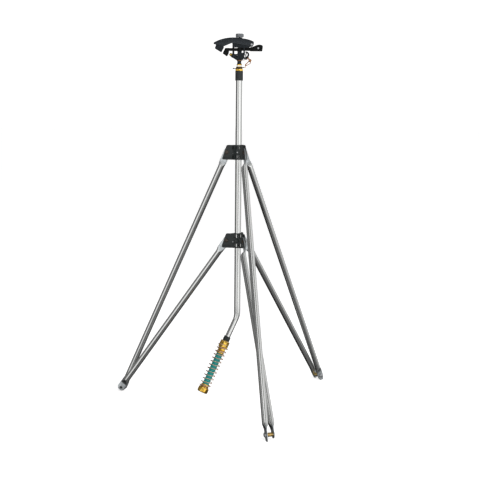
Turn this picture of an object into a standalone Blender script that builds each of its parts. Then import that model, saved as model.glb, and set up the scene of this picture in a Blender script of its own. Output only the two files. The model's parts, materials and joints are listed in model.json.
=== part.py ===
"""Impact sprinkler on a folding tripod, with a spring-guarded leader hose.

Metres, +Z up. Everything is laid out round the riser's axis: the riser stands
upright on three legs, the head's jet points to -X, and the origin lies on the
ground in the middle of the box round the three feet.
"""
from math import cos, pi, radians, sin, sqrt, tan

import bpy
import bmesh
import numpy as np
from mathutils import Matrix, Vector

# ---------------------------------------------------------------- driving sizes
GAP = 0.0003                      # clearance between neighbouring pieces

# riser pipe and its bent tail
RISER_R = 0.0095
RISER_WALL = 0.0015
RISER_TOP_Z = 0.9812
PIPE_END_Z = 0.9812               # the pipe's end in the frame that carries collar and head
BEND_Z = 0.2650                   # where the riser's and the tail's axes cross
BEND_RADIUS = 0.050
TAIL_R = 0.0080
TAIL_TILT = radians(27.3)         # tail's angle from straight down
TAIL_AZIMUTH = radians(206.0)
TAIL_LENGTH = 0.0800              # from the axes' crossing to the pipe's end

# tripod
LEG_NAMES = ("left", "front", "right")
LEG_AZIMUTH = radians(165.5)      # of the first leg
FOOT_RADIUS = 0.3735              # riser axis to foot pivot
FOOT_PIVOT_Z = 0.0155
UPPER_HUB_Z = 0.7575
LOWER_HUB_Z = 0.4950
EAR_SHIFT = (RISER_R - 0.0095) * tan(pi / 3)       # a thicker riser spreads the plates round it
EAR_PIVOT_R = 0.0325 + EAR_SHIFT
LEG_TUBE_R = 0.0090
LEG_TUBE_WALL = 0.0012
FLAT_HALF_WIDTH = 0.0110          # flattened tube end, half its width
FLAT_THICKNESS = 0.0032
TOP_FLAT = 0.028                  # flat length below a hub pivot, clear of the ear
FOOT_FLAT = 0.013                 # flat length above a foot pivot
FLAT_TAPER = 0.020                # from flat to round
LEG_TOP_AXIS_T = 0.0052           # tube axis beside the leg's radial plane, at the top
BRACE_TOP_AXIS_T = 0.0005
BRACE_FOOT_T = 0.0008
SPACER_LENGTH = 0.0160

# hubs
PLATE_T = 0.0030                  # hub plate thickness
HUB_HEIGHT = 0.0435
EAR_TOP_R = 0.0330 + EAR_SHIFT
EAR_END_R = 0.0480 + EAR_SHIFT
HUB_WEB_HEIGHT = 0.0170
RIVET_R = 0.0034
RIVET_HEAD_R = 0.0058
RIVET_HEAD_T = 0.0026
HUB_RIB_R = RISER_R + 0.0075
HUB_RIB_T = 0.0040
HUB_PIN_R = 0.0022
CLAMP_SCREW_R = 0.0030
CLAMP_HEAD_R = 0.0065
CLAMP_HEAD_L = 0.0085

# feet
FOOT_BOLT_R = 0.0038
FOOT_HEAD_R = 0.0068
FOOT_HEAD_T = 0.0042
SPACER_R = 0.0058
TOE_REACH = 0.026                 # long leg's plate beyond the foot pivot
TOE_HALF_WIDTH = 0.0034

# collar, bearing and trip rings below the head
COLLAR_WALL = 0.0017
COLLAR_R = RISER_R + GAP + COLLAR_WALL
COLLAR_BOTTOM_Z = 0.9670
COLLAR_TOP_Z = 0.9945
NIPPLE_R = 0.0086
HEX_HALF_FLATS = 0.0110
HEX_TOP_Z = 1.0005
SLEEVE_R = 0.0076
SLEEVE_TOP_Z = 1.0072
SPRING_CHAMBER_R = 0.0069
SPRING_CHAMBER_TOP_Z = 0.9965
STEM_R = 0.0044
STEM_WALL = 0.0012
STEM_FLANGE_R = 0.0065
STEM_BOTTOM_Z = 0.9765
STEM_TOP_Z = 1.0200
RING_T = 0.0026                   # trip ring thickness
RING_WALL = 0.0018
UPPER_TAB_R = 0.0160              # trip tabs, riser axis to the tip
LOWER_TAB_R = 0.0196
TAB_WIRE_R = 0.0010
WASHER_R = 0.0080
WASHER_T = 0.0030

# head
JET_TILT = radians(29.0)
BARREL_R = 0.0058
BARREL_BORE_R = 0.0035
BARREL_AXIS_X = -0.0250           # a point on the jet's axis
BARREL_AXIS_Z = 1.0440
BARREL_END_X = -0.0220
NOZZLE_R = 0.0042
NOZZLE_BORE_R = 0.0022
NOZZLE_LENGTH = 0.0075
NECK_R = 0.0063
NECK_BOTTOM_Z = 1.0142
COLUMN_BOTTOM_Z = 1.0265
WINDOW_BOTTOM_Z = 1.0470
WINDOW_TOP_Z = 1.0625
BRIDGE_WIDTH = 0.0180
POST_T = 0.0038
POST_Y = 0.0075                   # bridge post beside the jet's plane
FULCRUM_X = 0.0006
FULCRUM_PIN_R = 0.0024
FULCRUM_PIN_BOTTOM_Z = 1.0400
FULCRUM_PIN_TOP_Z = 1.0862
ARM_HUB_R = 0.0068
ARM_BAR_BOTTOM_Z = 1.0530
ARM_BAR_TOP_Z = 1.0605
ARM_BAR_WIDTH = 0.0070
WEIGHT_WIDTH = 0.0140
SPOON_WIDTH = 0.0130
SPRING_POCKET_R = 0.0072
SPRING_POCKET_TOP_Z = 1.0720
HOOD_RADIUS = 0.120
HOOD_APEX_X = -0.0170
HOOD_APEX_Z = 1.0905
HOOD_T = 0.0020
HOOD_WIDTH = 0.0240
HOOD_TIP_X = -0.0750
HOOD_END_X = 0.0420
HINGE_X = 0.0355
HINGE_Z = 1.0705
HINGE_PIN_R = 0.0018
LUG_R = 0.0045
LUG_WIDTH = 0.0090
KNOB_R = 0.0117
KNOB_BOTTOM_Z = 1.0913
KNOB_TOP_Z = 1.1018
KNOB_STUD_R = 0.0026
TRIP_AXLE_Z = 1.0310
TRIP_AXLE_R = 0.0013
TRIP_AXLE_END_X = 0.0286
TRIP_WIRE_R = 0.0010
EYE_R = 0.0032

# leader hose with its couplings and guard spring, screwed on the inlet
INLET_RING_R = 0.0103
INLET_RING_LENGTH = 0.0140
THREAD_R = 0.0102
THREAD_LENGTH = 0.0078
INLET_BORE_R = 0.0055
NUT_R = 0.0144
NUT_LENGTH = 0.0240
FERRULE_LENGTH = 0.0180
HOSE_R = 0.00975
FERRULE_WALL = 0.00215
FERRULE_R = HOSE_R + GAP + FERRULE_WALL
HOSE_WALL = 0.0030
HOSE_LENGTH = 0.1200
HOSE_GRIP = 0.0100                # hose hidden in each ferrule
END_FITTING_R = 0.0160
END_FITTING_LENGTH = 0.0160
GUARD_TURNS = 12.5
GUARD_R = 0.01615                 # coil's mean radius
GUARD_WIRE_R = 0.0012
GUARD_START = 0.0120              # first turn below the nut's top

# ---------------------------------------------------------------- materials
FINISHES = {
    "galvanised": ((0.62, 0.62, 0.60), 0.38, 0.9),
    "black_enamel": ((0.016, 0.018, 0.019), 0.35, 0.0),
    "head_black": ((0.020, 0.023, 0.026), 0.42, 0.0),
    "brass": ((0.62, 0.42, 0.14), 0.28, 1.0),
    "copper_wire": ((0.55, 0.27, 0.13), 0.30, 1.0),
    "steel": ((0.45, 0.45, 0.46), 0.35, 1.0),
    "nylon": ((0.80, 0.79, 0.74), 0.50, 0.0),
    "teal_hose": ((0.0, 0.22, 0.20), 0.40, 0.0),
    "rubber": ((0.02, 0.02, 0.02), 0.70, 0.0),
}


def clear_scene():
    """Remove the objects that are in the scene."""
    for thing in list(bpy.data.objects):
        bpy.data.objects.remove(thing, do_unlink=True)


def make_collection(name):
    """A new collection linked to the scene."""
    group = bpy.data.collections.new(name)
    bpy.context.scene.collection.children.link(group)
    return group


def make_material(name):
    """A Principled BSDF with the finish's colour, roughness and metallic value."""
    colour, roughness, metallic = FINISHES[name]
    finish = bpy.data.materials.new(name)
    finish.use_nodes = True
    shader = finish.node_tree.nodes["Principled BSDF"]
    shader.inputs["Base Color"].default_value = (*colour, 1.0)
    shader.inputs["Roughness"].default_value = roughness
    shader.inputs["Metallic"].default_value = metallic
    return finish


clear_scene()
PARTS = make_collection("tripod_sprinkler")
CUTTERS = make_collection("cutters")
MATERIALS = {name: make_material(name) for name in FINISHES}


# ---------------------------------------------------------------- helpers
def make_frame(name, location, parent=None, rotation=None):
    """An empty that carries the pieces of one sub-assembly."""
    frame = bpy.data.objects.new(name, None)
    frame.empty_display_size = 0.02
    PARTS.objects.link(frame)
    frame.parent = parent
    frame.location = location
    if rotation is not None:
        frame.rotation_euler = rotation.to_euler()
    return frame


def add_object(name, mesh, finish=None, frame=None, location=(0, 0, 0)):
    """An object of the part, or a hidden cutter where no finish is given."""
    thing = bpy.data.objects.new(name, mesh)
    if finish is None:
        CUTTERS.objects.link(thing)
        thing.hide_render = True
        thing.display_type = "WIRE"
    else:
        PARTS.objects.link(thing)
        mesh.materials.append(MATERIALS[finish])
    thing.parent = frame
    thing.location = location
    return thing


def finish_bmesh(name, shape):
    """Put a bmesh into a new mesh, shaded smooth between its sharp edges."""
    mesh = bpy.data.meshes.new(name)
    shape.to_mesh(mesh)
    shape.free()
    mesh.shade_smooth()
    mesh.set_sharp_from_angle(angle=radians(35))
    return mesh


def box_mesh(name, low, high):
    """A box between two corners."""
    shape = bmesh.new()
    bmesh.ops.create_cube(shape, size=1.0)
    size = Vector(high) - Vector(low)
    bmesh.ops.scale(shape, vec=size, verts=shape.verts)
    bmesh.ops.translate(shape, vec=(Vector(high) + Vector(low)) / 2, verts=shape.verts)
    return finish_bmesh(name, shape)


def rod_mesh(name, start, end, radius, sides=16):
    """A cylinder between two points."""
    start = Vector(start)
    end = Vector(end)
    axis = end - start
    turn = axis.to_track_quat("Z", "Y").to_matrix().to_4x4()
    shape = bmesh.new()
    bmesh.ops.create_cone(
        shape,
        cap_ends=True,
        segments=sides,
        radius1=radius,
        radius2=radius,
        depth=axis.length,
        matrix=Matrix.Translation((start + end) / 2) @ turn,
    )
    return finish_bmesh(name, shape)


def turned_object(name, profile, finish=None, frame=None, location=(0, 0, 0), closed=False, steps=16):
    """Turn a profile of (radius, z) about Z, its outer side from top to bottom."""
    mesh = bpy.data.meshes.new(name)
    count = len(profile)
    edges = [(i, i + 1) for i in range(count - 1)]
    if closed:
        edges.append((count - 1, 0))
    mesh.from_pydata([(r, 0.0, z) for r, z in profile], edges, [])
    thing = add_object(name, mesh, finish, frame, location)
    screw = thing.modifiers.new("turn", "SCREW")
    screw.axis = "Z"
    screw.steps = steps
    screw.render_steps = steps
    screw.use_merge_vertices = True
    screw.merge_threshold = 0.00001
    screw.use_smooth_shade = True
    return thing


def ring_profile(outer, inner, bottom, top):
    """The closed profile of a plain ring."""
    return [(outer, top), (outer, bottom), (inner, bottom), (inner, top)]


def curve_to_mesh(name, curve):
    """The curve's evaluated mesh, with its caps welded on."""
    holder = bpy.data.objects.new(name, curve)
    bpy.context.scene.collection.objects.link(holder)
    bpy.context.view_layer.update()
    graph = bpy.context.evaluated_depsgraph_get()
    mesh = bpy.data.meshes.new_from_object(holder.evaluated_get(graph))
    bpy.data.objects.remove(holder, do_unlink=True)
    shape = bmesh.new()
    shape.from_mesh(mesh)
    bpy.data.meshes.remove(mesh)
    bmesh.ops.remove_doubles(shape, verts=shape.verts, dist=0.00001)
    bmesh.ops.recalc_face_normals(shape, faces=shape.faces)
    return finish_bmesh(name, shape)


def outline_mesh(name, loops, thickness, plane="XZ"):
    """Plate with the given outlines: the first is its edge, the others are holes."""
    curve = bpy.data.curves.new(name, "CURVE")
    curve.dimensions = "2D"
    curve.fill_mode = "BOTH"
    curve.extrude = thickness / 2
    for loop in loops:
        spline = curve.splines.new("POLY")
        spline.points.add(len(loop) - 1)
        for point, (u, v) in zip(spline.points, loop):
            point.co = (u, v, 0.0, 1.0)
        spline.use_cyclic_u = True
    mesh = curve_to_mesh(name, curve)
    if plane == "XZ":
        mesh.transform(Matrix.Rotation(radians(90), 4, "X"))
    return mesh


def wire_mesh(name, points, radius, resolution=2, radii=None, cyclic=False):
    """A round wire or tube through points."""
    curve = bpy.data.curves.new(name, "CURVE")
    curve.dimensions = "3D"
    curve.bevel_depth = radius
    curve.bevel_resolution = resolution
    curve.use_fill_caps = not cyclic
    spline = curve.splines.new("POLY")
    spline.points.add(len(points) - 1)
    for index, point in enumerate(points):
        spline.points[index].co = (*point, 1.0)
        if radii is not None:
            spline.points[index].radius = radii[index] / radius
    spline.use_cyclic_u = cyclic
    return curve_to_mesh(name, curve)


def loft_mesh(name, rings):
    """Skin closed rings of points, in order, and close both ends."""
    shape = bmesh.new()
    rows = [[shape.verts.new(point) for point in ring] for ring in rings]
    sides = len(rows[0])
    for row, following in zip(rows, rows[1:]):
        for i in range(sides):
            j = (i + 1) % sides
            shape.faces.new((row[i], row[j], following[j], following[i]))
    shape.faces.new(list(reversed(rows[0])))
    shape.faces.new(rows[-1])
    bmesh.ops.recalc_face_normals(shape, faces=shape.faces)
    return finish_bmesh(name, shape)


def boolean(thing, other, operation):
    """Join another object to a piece, or cut it away."""
    step = thing.modifiers.new(operation.lower(), "BOOLEAN")
    step.operation = operation
    step.solver = "EXACT"
    step.object = other


def join_and_cut(thing, joined=(), cut=()):
    """Add the joined shapes to a piece, then take the cut ones away."""
    for index, mesh in enumerate(joined):
        other = mesh if isinstance(mesh, bpy.types.Object) else add_object(
            f"{thing.name}_add_{index}", mesh, None, thing.parent, thing.location)
        boolean(thing, other, "UNION")
    for index, mesh in enumerate(cut):
        other = mesh if isinstance(mesh, bpy.types.Object) else add_object(
            f"{thing.name}_cut_{index}", mesh, None, thing.parent, thing.location)
        boolean(thing, other, "DIFFERENCE")
    return thing


def arc_points(centre, radius, start, end, count):
    """Points on an arc, angles in radians."""
    return [(centre[0] + radius * cos(a), centre[1] + radius * sin(a)) for a in np.linspace(start, end, count)]


def circle_points(centre, radius, count=16):
    """Points round a circle, without repeating the first."""
    return arc_points(centre, radius, 0, 2 * pi, count + 1)[:-1]


def about(mesh, origin):
    """Move a mesh so that its object can have its origin on a joint's axis."""
    mesh.transform(Matrix.Translation(-Vector(origin)))
    return mesh


# ---------------------------------------------------------------- frames
def leg_azimuth(index):
    """Azimuth of a leg, in radians."""
    return LEG_AZIMUTH + index * 2 * pi / 3


def stand_centre():
    """Riser axis seen from the middle of the box round the foot pivots."""
    xs = [FOOT_RADIUS * cos(leg_azimuth(i)) for i in range(3)]
    ys = [FOOT_RADIUS * sin(leg_azimuth(i)) for i in range(3)]
    return Vector((-(max(xs) + min(xs)) / 2, -(max(ys) + min(ys)) / 2, 0.0))


STAND = make_frame("riser_axis", stand_centre())
TOP = make_frame("riser_top", (0, 0, RISER_TOP_Z - PIPE_END_Z), STAND)
LEG_FRAMES = [
    make_frame(f"{name}_leg_plane", (0, 0, 0), STAND, Matrix.Rotation(leg_azimuth(i), 3, "Z"))
    for i, name in enumerate(LEG_NAMES)
]
TAIL_DIRECTION = Vector((
    sin(TAIL_TILT) * cos(TAIL_AZIMUTH),
    sin(TAIL_TILT) * sin(TAIL_AZIMUTH),
    -cos(TAIL_TILT),
))
TAIL_END = Vector((0, 0, BEND_Z)) + TAIL_DIRECTION * TAIL_LENGTH
INLET = make_frame("inlet_axis", TAIL_END, STAND, TAIL_DIRECTION.to_track_quat("Z", "Y").to_matrix())


# ---------------------------------------------------------------- riser
def riser_path(overrun=0.0):
    """Centre line of the riser and tail: straight, an arc, straight again."""
    reach = BEND_RADIUS * tan(TAIL_TILT / 2)
    outward = Vector((cos(TAIL_AZIMUTH), sin(TAIL_AZIMUTH), 0))
    centre = Vector((0, 0, BEND_Z + reach)) + outward * BEND_RADIUS
    points = [Vector((0, 0, RISER_TOP_Z + overrun))]
    for angle in np.linspace(0, TAIL_TILT, 7):
        points.append(centre - outward * BEND_RADIUS * cos(angle) - Vector((0, 0, BEND_RADIUS * sin(angle))))
    points.append(TAIL_END + TAIL_DIRECTION * overrun)
    return points


def riser_radii(points, wall=0.0):
    """The pipe narrows through the bend, from the riser's radius to the tail's."""
    bend = len(points) - 2
    shares = [0.0] + [i / (bend - 1) for i in range(bend)] + [1.0]
    return [RISER_R + (TAIL_R - RISER_R) * share - wall for share in shares]


def make_riser():
    """The bent pipe, open at both ends."""
    outer = riser_path()
    inner = riser_path(overrun=0.002)
    mesh = wire_mesh("riser_tube", outer, RISER_R, 4, riser_radii(outer))
    bore = wire_mesh("riser_bore", inner, RISER_R, 4, riser_radii(inner, RISER_WALL))
    thing = add_object("riser_tube", mesh, "galvanised", STAND)
    join_and_cut(thing, cut=[bore])


# ---------------------------------------------------------------- hubs
PLATE_OFFSET = RISER_R + GAP + PLATE_T / 2        # hub plate's middle from the riser axis
FLAT_OFFSET = PLATE_OFFSET - PLATE_T / 2 - GAP - FLAT_THICKNESS / 2
SIDE_LENGTH = (RISER_R + GAP) * tan(pi / 3)       # half a side of the hub's triangle
PLATE_LAP = 0.87 * PLATE_T                        # plate end let into its neighbour


def ear_outline():
    """Hub plate in its own plane: a long tangent strip that ends in a sloped ear."""
    half = HUB_HEIGHT / 2
    corner = 0.005
    slope_bottom = -half / 2
    tail = -SIDE_LENGTH - PLATE_LAP
    end = arc_points((EAR_END_R - corner, -half + corner), corner, 0, -pi / 2, 4)
    return (
        [(tail, half), (tail, -half)]
        + list(reversed(end))
        + [(EAR_END_R, slope_bottom), (EAR_TOP_R, half - 0.002), (EAR_TOP_R - 0.002, half)]
    )


def hub_windows(open_hub):
    """Windows above and below the web, where the riser shows through."""
    half = HUB_HEIGHT / 2
    web = HUB_WEB_HEIGHT / 2
    margin = 0.0028 if open_hub else 0.0045
    windows = []
    spans = ((-0.0125, -0.0030), (0.0020, 0.0125)) if open_hub else ((-0.0085, -0.0050), (0.0030, 0.0065))
    for left, right in spans:
        for low, high in ((web, half - margin), (margin - half, -web)):
            windows.append([(left, low), (right, low), (right, high), (left, high)])
    return windows


def make_hub(name, height, open_hub):
    """Three tangent plates welded into a triangular sleeve round the riser."""
    outline = ear_outline()
    hole = circle_points((EAR_PIVOT_R, 0.0), RIVET_R + GAP, 12)
    plates = []
    for index in range(3):
        mesh = outline_mesh(f"{name}_plate", [outline, hole] + hub_windows(open_hub), PLATE_T)
        mesh.transform(Matrix.Translation((0, PLATE_OFFSET, 0)))
        mesh.transform(Matrix.Rotation(leg_azimuth(index), 4, "Z"))
        plates.append(mesh)
    thing = add_object(name, plates[0], "black_enamel", STAND, (0, 0, height))
    joined = plates[1:]
    cut = []
    if not open_hub:
        for index in range(3):
            rib = box_mesh(f"{name}_rib", (RISER_R + GAP, -HUB_RIB_T / 2, -HUB_HEIGHT / 2),
                           (HUB_RIB_R + PLATE_T, HUB_RIB_T / 2, HUB_HEIGHT / 2))
            rib.transform(Matrix.Rotation(leg_azimuth(index) + pi / 3, 4, "Z"))
            joined.append(rib)
    return thing, joined, cut


def rivet_profile():
    """A rivet along Z: domed head, shank through ear and tube end, formed head."""
    grip = (PLATE_T + FLAT_THICKNESS + GAP) / 2 + GAP
    dome = [
        (RIVET_HEAD_R * sin(a), grip + RIVET_HEAD_T * (0.25 + 0.75 * cos(a)))
        for a in np.linspace(0, pi / 2, 4)
    ]
    formed = [(r * 0.9, -z) for r, z in reversed(dome)]
    return (dome + [(RIVET_HEAD_R, grip), (RIVET_R, grip), (RIVET_R, -grip), (RIVET_HEAD_R * 0.9, -grip)] + formed)


def make_hub_rivets(prefix, height):
    """One rivet at each ear, along the leg's pivot."""
    middle = PLATE_OFFSET - PLATE_T / 2 - GAP / 2 + (PLATE_T - FLAT_THICKNESS) / 2
    for name, frame in zip(LEG_NAMES, LEG_FRAMES):
        rivet = turned_object(f"{prefix}_rivet_{name}", rivet_profile(), "steel", frame,
                              (EAR_PIVOT_R, middle, height), steps=12)
        rivet.rotation_euler = (radians(90), 0, 0)


def make_upper_hub():
    """The hub that is pinned to the riser, and its cross pin."""
    thing, joined, cut = make_hub("upper_hub", UPPER_HUB_Z, open_hub=False)
    reach = PLATE_OFFSET + PLATE_T / 2 + 0.0016
    azimuth = leg_azimuth(0) + pi / 2
    direction = Vector((cos(azimuth), sin(azimuth), 0))
    start = direction * reach
    cut.append(rod_mesh("pin_hole", direction * (reach + 0.01), direction * (RISER_R - RISER_WALL / 2),
                        HUB_PIN_R + GAP, 16))
    join_and_cut(thing, joined, cut)
    pin = rod_mesh("hub_pin", start, direction * (RISER_R + 2 * GAP), HUB_PIN_R, 16)
    add_object("hub_pin", pin, "steel", STAND, (0, 0, UPPER_HUB_Z))


def make_lower_hub():
    """The hub that slides on the riser, and the screw that clamps it."""
    thing, joined, cut = make_hub("lower_hub", LOWER_HUB_Z, open_hub=True)
    azimuth = leg_azimuth(0) + pi / 2
    direction = Vector((cos(azimuth), sin(azimuth), 0))
    face = PLATE_OFFSET + PLATE_T / 2
    cut.append(rod_mesh("screw_hole", direction * (face + 0.01), direction * RISER_R, CLAMP_SCREW_R + GAP, 16))
    join_and_cut(thing, joined, cut)
    screw = add_object(
        "clamp_screw",
        rod_mesh("clamp_screw", direction * (RISER_R + 2 * GAP), direction * (face + 0.003), CLAMP_SCREW_R, 16),
        "black_enamel", STAND, (0, 0, LOWER_HUB_Z))
    head = rod_mesh("clamp_head", direction * (face + GAP), direction * (face + GAP + CLAMP_HEAD_L),
                    CLAMP_HEAD_R, 6)
    join_and_cut(screw, joined=[head])


# ---------------------------------------------------------------- legs
FOOT_LEG_T = BRACE_FOOT_T - SPACER_LENGTH - FLAT_THICKNESS - 2 * GAP


def section(centre, across, half_a, half_b, power, sides):
    """A closed superellipse ring: half_a in the leg's plane, half_b across it."""
    ring = []
    for k in range(sides):
        angle = 2 * pi * (k + 0.5) / sides
        c = cos(angle)
        s = sin(angle)
        u = half_a * (abs(c) ** (2 / power)) * (1 if c >= 0 else -1)
        v = half_b * (abs(s) ** (2 / power)) * (1 if s >= 0 else -1)
        ring.append(centre + across * u + Vector((0, v, 0)))
    return ring


def tube_rings(top, foot, top_axis_t, foot_axis_t, inset, toe):
    """Rings from the flattened top end, down the round tube, to the foot end.

    top and foot are pivot points (radial, lateral, z). The flattened ends keep
    to their pivots' planes and the tube between them follows its own axis.
    """
    flat_a = FLAT_HALF_WIDTH - inset
    flat_b = FLAT_THICKNESS / 2 - inset * 0.7
    round_r = LEG_TUBE_R - inset
    start = Vector((top[0], 0, top[2]))
    run = Vector((foot[0], 0, foot[2])) - start
    length = run.length
    along = run.normalized()
    across = Vector((along.z, 0, -along.x))
    rings = []

    def add(distance, lateral, half_a, half_b, power):
        centre = start + along * distance + Vector((0, lateral, 0))
        rings.append(section(centre, across, half_a, half_b, power, 8 if inset else 12))

    def axis_t(distance):
        return top_axis_t + (foot_axis_t - top_axis_t) * distance / length

    if inset == 0:
        for angle in np.radians((15, 40, 65)):
            add(-flat_a * cos(angle), top[1], flat_a * sin(angle), flat_b, 4)
    top_flat = TOP_FLAT + inset * 2
    foot_flat = FOOT_FLAT + inset * 2
    if not inset:
        add(0.0, top[1], flat_a, flat_b, 4)
    add(top_flat, top[1], flat_a, flat_b, 4)
    for share in (0.33, 0.67, 1.0):
        distance = top_flat + (FLAT_TAPER - inset * 2) * share
        blend = share * share * (3 - 2 * share)
        add(distance, top[1] + (axis_t(distance) - top[1]) * blend,
            flat_a + (round_r - flat_a) * blend, flat_b + (round_r - flat_b) * blend, 4 - 2 * blend)
    for share in (1.0, 0.67, 0.33, 0.0):
        distance = length - foot_flat - (FLAT_TAPER - inset * 2) * share
        blend = share * share * (3 - 2 * share)
        add(distance, foot[1] + (axis_t(distance) - foot[1]) * blend,
            flat_a + (round_r - flat_a) * blend, flat_b + (round_r - flat_b) * blend, 4 - 2 * blend)
    if inset:
        return rings
    add(length, foot[1], flat_a, flat_b, 4)
    if toe:
        add(length + 0.006, foot[1], flat_a * 0.92, flat_b, 4)
        add(length + TOE_REACH, foot[1], TOE_HALF_WIDTH, flat_b, 4)
    else:
        for angle in np.radians((65, 40, 15)):
            add(length + flat_a * cos(angle), foot[1], flat_a * sin(angle), flat_b, 4)
    return rings


def make_tube(name, frame, top, foot, top_axis_t, foot_axis_t, toe):
    """A hollow leg tube with flattened, drilled ends. Its origin is on its hub pivot."""
    shift = Vector((top[0], 0, top[2]))
    outer = about(loft_mesh(name, tube_rings(top, foot, top_axis_t, foot_axis_t, 0.0, toe)), shift)
    inner = about(loft_mesh(f"{name}_bore", tube_rings(top, foot, top_axis_t, foot_axis_t, LEG_TUBE_WALL,
                                                               False)), shift)
    thing = add_object(name, outer, "galvanised", frame, shift)
    reach = Vector((0, 0.02, 0))
    holes = []
    for label, pivot, radius in (("top", top, RIVET_R + GAP), ("foot", foot, FOOT_BOLT_R + GAP)):
        centre = Vector(pivot)
        holes.append(about(rod_mesh(f"{name}_{label}", centre - reach, centre + reach, radius, 14), shift))
    run = Vector((foot[0] - top[0], 0, foot[2] - top[2]))
    drain = Vector((top[0], top_axis_t, top[2])) + run * (1 - (FOOT_FLAT + FLAT_TAPER + 0.012) / run.length)
    drain.y = foot_axis_t
    inward = Vector((-run.z, 0, run.x)).normalized() * -0.02
    holes.append(about(rod_mesh(f"{name}_drain", drain, drain + inward, 0.002, 8), shift))
    cuts = [inner] + holes
    if toe:
        low = shift * -1 + Vector((FOOT_RADIUS - 0.05, -0.05, -0.05))
        high = shift * -1 + Vector((FOOT_RADIUS + 0.06, 0.05, 0.0))
        cuts.append(box_mesh(f"{name}_ground", low, high))
    join_and_cut(thing, cut=cuts)


def make_legs():
    """Three long legs and three braces."""
    for name, frame in zip(LEG_NAMES, LEG_FRAMES):
        make_tube(f"long_leg_{name}", frame, (EAR_PIVOT_R, FLAT_OFFSET, UPPER_HUB_Z),
                  (FOOT_RADIUS, FOOT_LEG_T, FOOT_PIVOT_Z), LEG_TOP_AXIS_T, FOOT_LEG_T, True)
        make_tube(f"brace_{name}", frame, (EAR_PIVOT_R, FLAT_OFFSET, LOWER_HUB_Z),
                  (FOOT_RADIUS, BRACE_FOOT_T, FOOT_PIVOT_Z), BRACE_TOP_AXIS_T, BRACE_FOOT_T, False)


def make_feet():
    """Bolt and spacer on each long leg, and the rivet head on each brace."""
    leg_face = FOOT_LEG_T - FLAT_THICKNESS / 2
    spacer_start = FOOT_LEG_T + FLAT_THICKNESS / 2 + GAP
    spacer_end = BRACE_FOOT_T - FLAT_THICKNESS / 2 - GAP
    brace_face = BRACE_FOOT_T + FLAT_THICKNESS / 2
    for name, frame in zip(LEG_NAMES, LEG_FRAMES):
        place = Vector((FOOT_RADIUS, 0, FOOT_PIVOT_Z))
        along = Vector((0, 1, 0))
        bolt = add_object(
            f"foot_bolt_{name}",
            rod_mesh("foot_bolt", along * (leg_face - GAP - FOOT_HEAD_T / 2), along * spacer_end, FOOT_BOLT_R, 14),
            "steel", frame, place)
        head = rod_mesh("foot_bolt_head", along * (leg_face - GAP - FOOT_HEAD_T), along * (leg_face - GAP),
                        FOOT_HEAD_R, 6)
        join_and_cut(bolt, joined=[head])
        length = spacer_end - spacer_start
        spacer = turned_object(
            f"foot_spacer_{name}",
            ring_profile(SPACER_R, FOOT_BOLT_R + GAP, -length / 2, length / 2),
            "brass", frame, place + along * (spacer_start + spacer_end) / 2, closed=True, steps=14)
        spacer.rotation_euler = (radians(-90), 0, 0)
        dome = [(FOOT_HEAD_R * sin(a), GAP + FOOT_HEAD_T * (0.3 + 0.7 * cos(a))) for a in np.linspace(0, pi / 2, 4)]
        profile = dome + [(FOOT_HEAD_R, GAP), (FOOT_BOLT_R, GAP), (FOOT_BOLT_R, -FLAT_THICKNESS), (0, -FLAT_THICKNESS)]
        cap = turned_object(f"foot_cap_{name}", profile, "black_enamel", frame, place + along * brace_face, steps=14)
        cap.rotation_euler = (radians(-90), 0, 0)


# ---------------------------------------------------------------- collar and bearing
def make_collar():
    """The black collar that joins the riser to the bearing."""
    seat = PIPE_END_Z + GAP
    profile = [
        (COLLAR_R - 0.0006, COLLAR_TOP_Z), (COLLAR_R, COLLAR_TOP_Z - 0.0006),
        (COLLAR_R, COLLAR_BOTTOM_Z + 0.0006), (COLLAR_R - 0.0006, COLLAR_BOTTOM_Z),
        (RISER_R + GAP, COLLAR_BOTTOM_Z), (RISER_R + GAP, seat),
        (NIPPLE_R + GAP, seat), (NIPPLE_R + GAP, COLLAR_TOP_Z),
    ]
    turned_object("pipe_collar", profile, "black_enamel", TOP, closed=True)


def make_bearing_nut():
    """The brass hexagon with its nipple below and its sleeve above."""
    bottom = PIPE_END_Z + 3 * GAP
    profile = [
        (SLEEVE_R, SLEEVE_TOP_Z), (SLEEVE_R, COLLAR_TOP_Z + GAP), (NIPPLE_R, COLLAR_TOP_Z + GAP),
        (NIPPLE_R, bottom), (SPRING_CHAMBER_R, bottom), (SPRING_CHAMBER_R, SPRING_CHAMBER_TOP_Z),
        (STEM_R + GAP, SPRING_CHAMBER_TOP_Z), (STEM_R + GAP, SLEEVE_TOP_Z),
    ]
    thing = turned_object("bearing_nut", profile, "brass", TOP, closed=True)
    hexagon = rod_mesh("hexagon", (0, 0, COLLAR_TOP_Z + GAP), (0, 0, HEX_TOP_Z), HEX_HALF_FLATS / cos(pi / 6), 6)
    bore = rod_mesh("hexagon_bore", (0, 0, COLLAR_TOP_Z - 0.01), (0, 0, HEX_TOP_Z + 0.01), SLEEVE_R - 0.0005, 32)
    ring = add_object("hexagon_ring", hexagon, None, TOP)
    boolean(ring, add_object("hexagon_bore", bore, None, TOP), "DIFFERENCE")
    join_and_cut(thing, joined=[ring])


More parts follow.
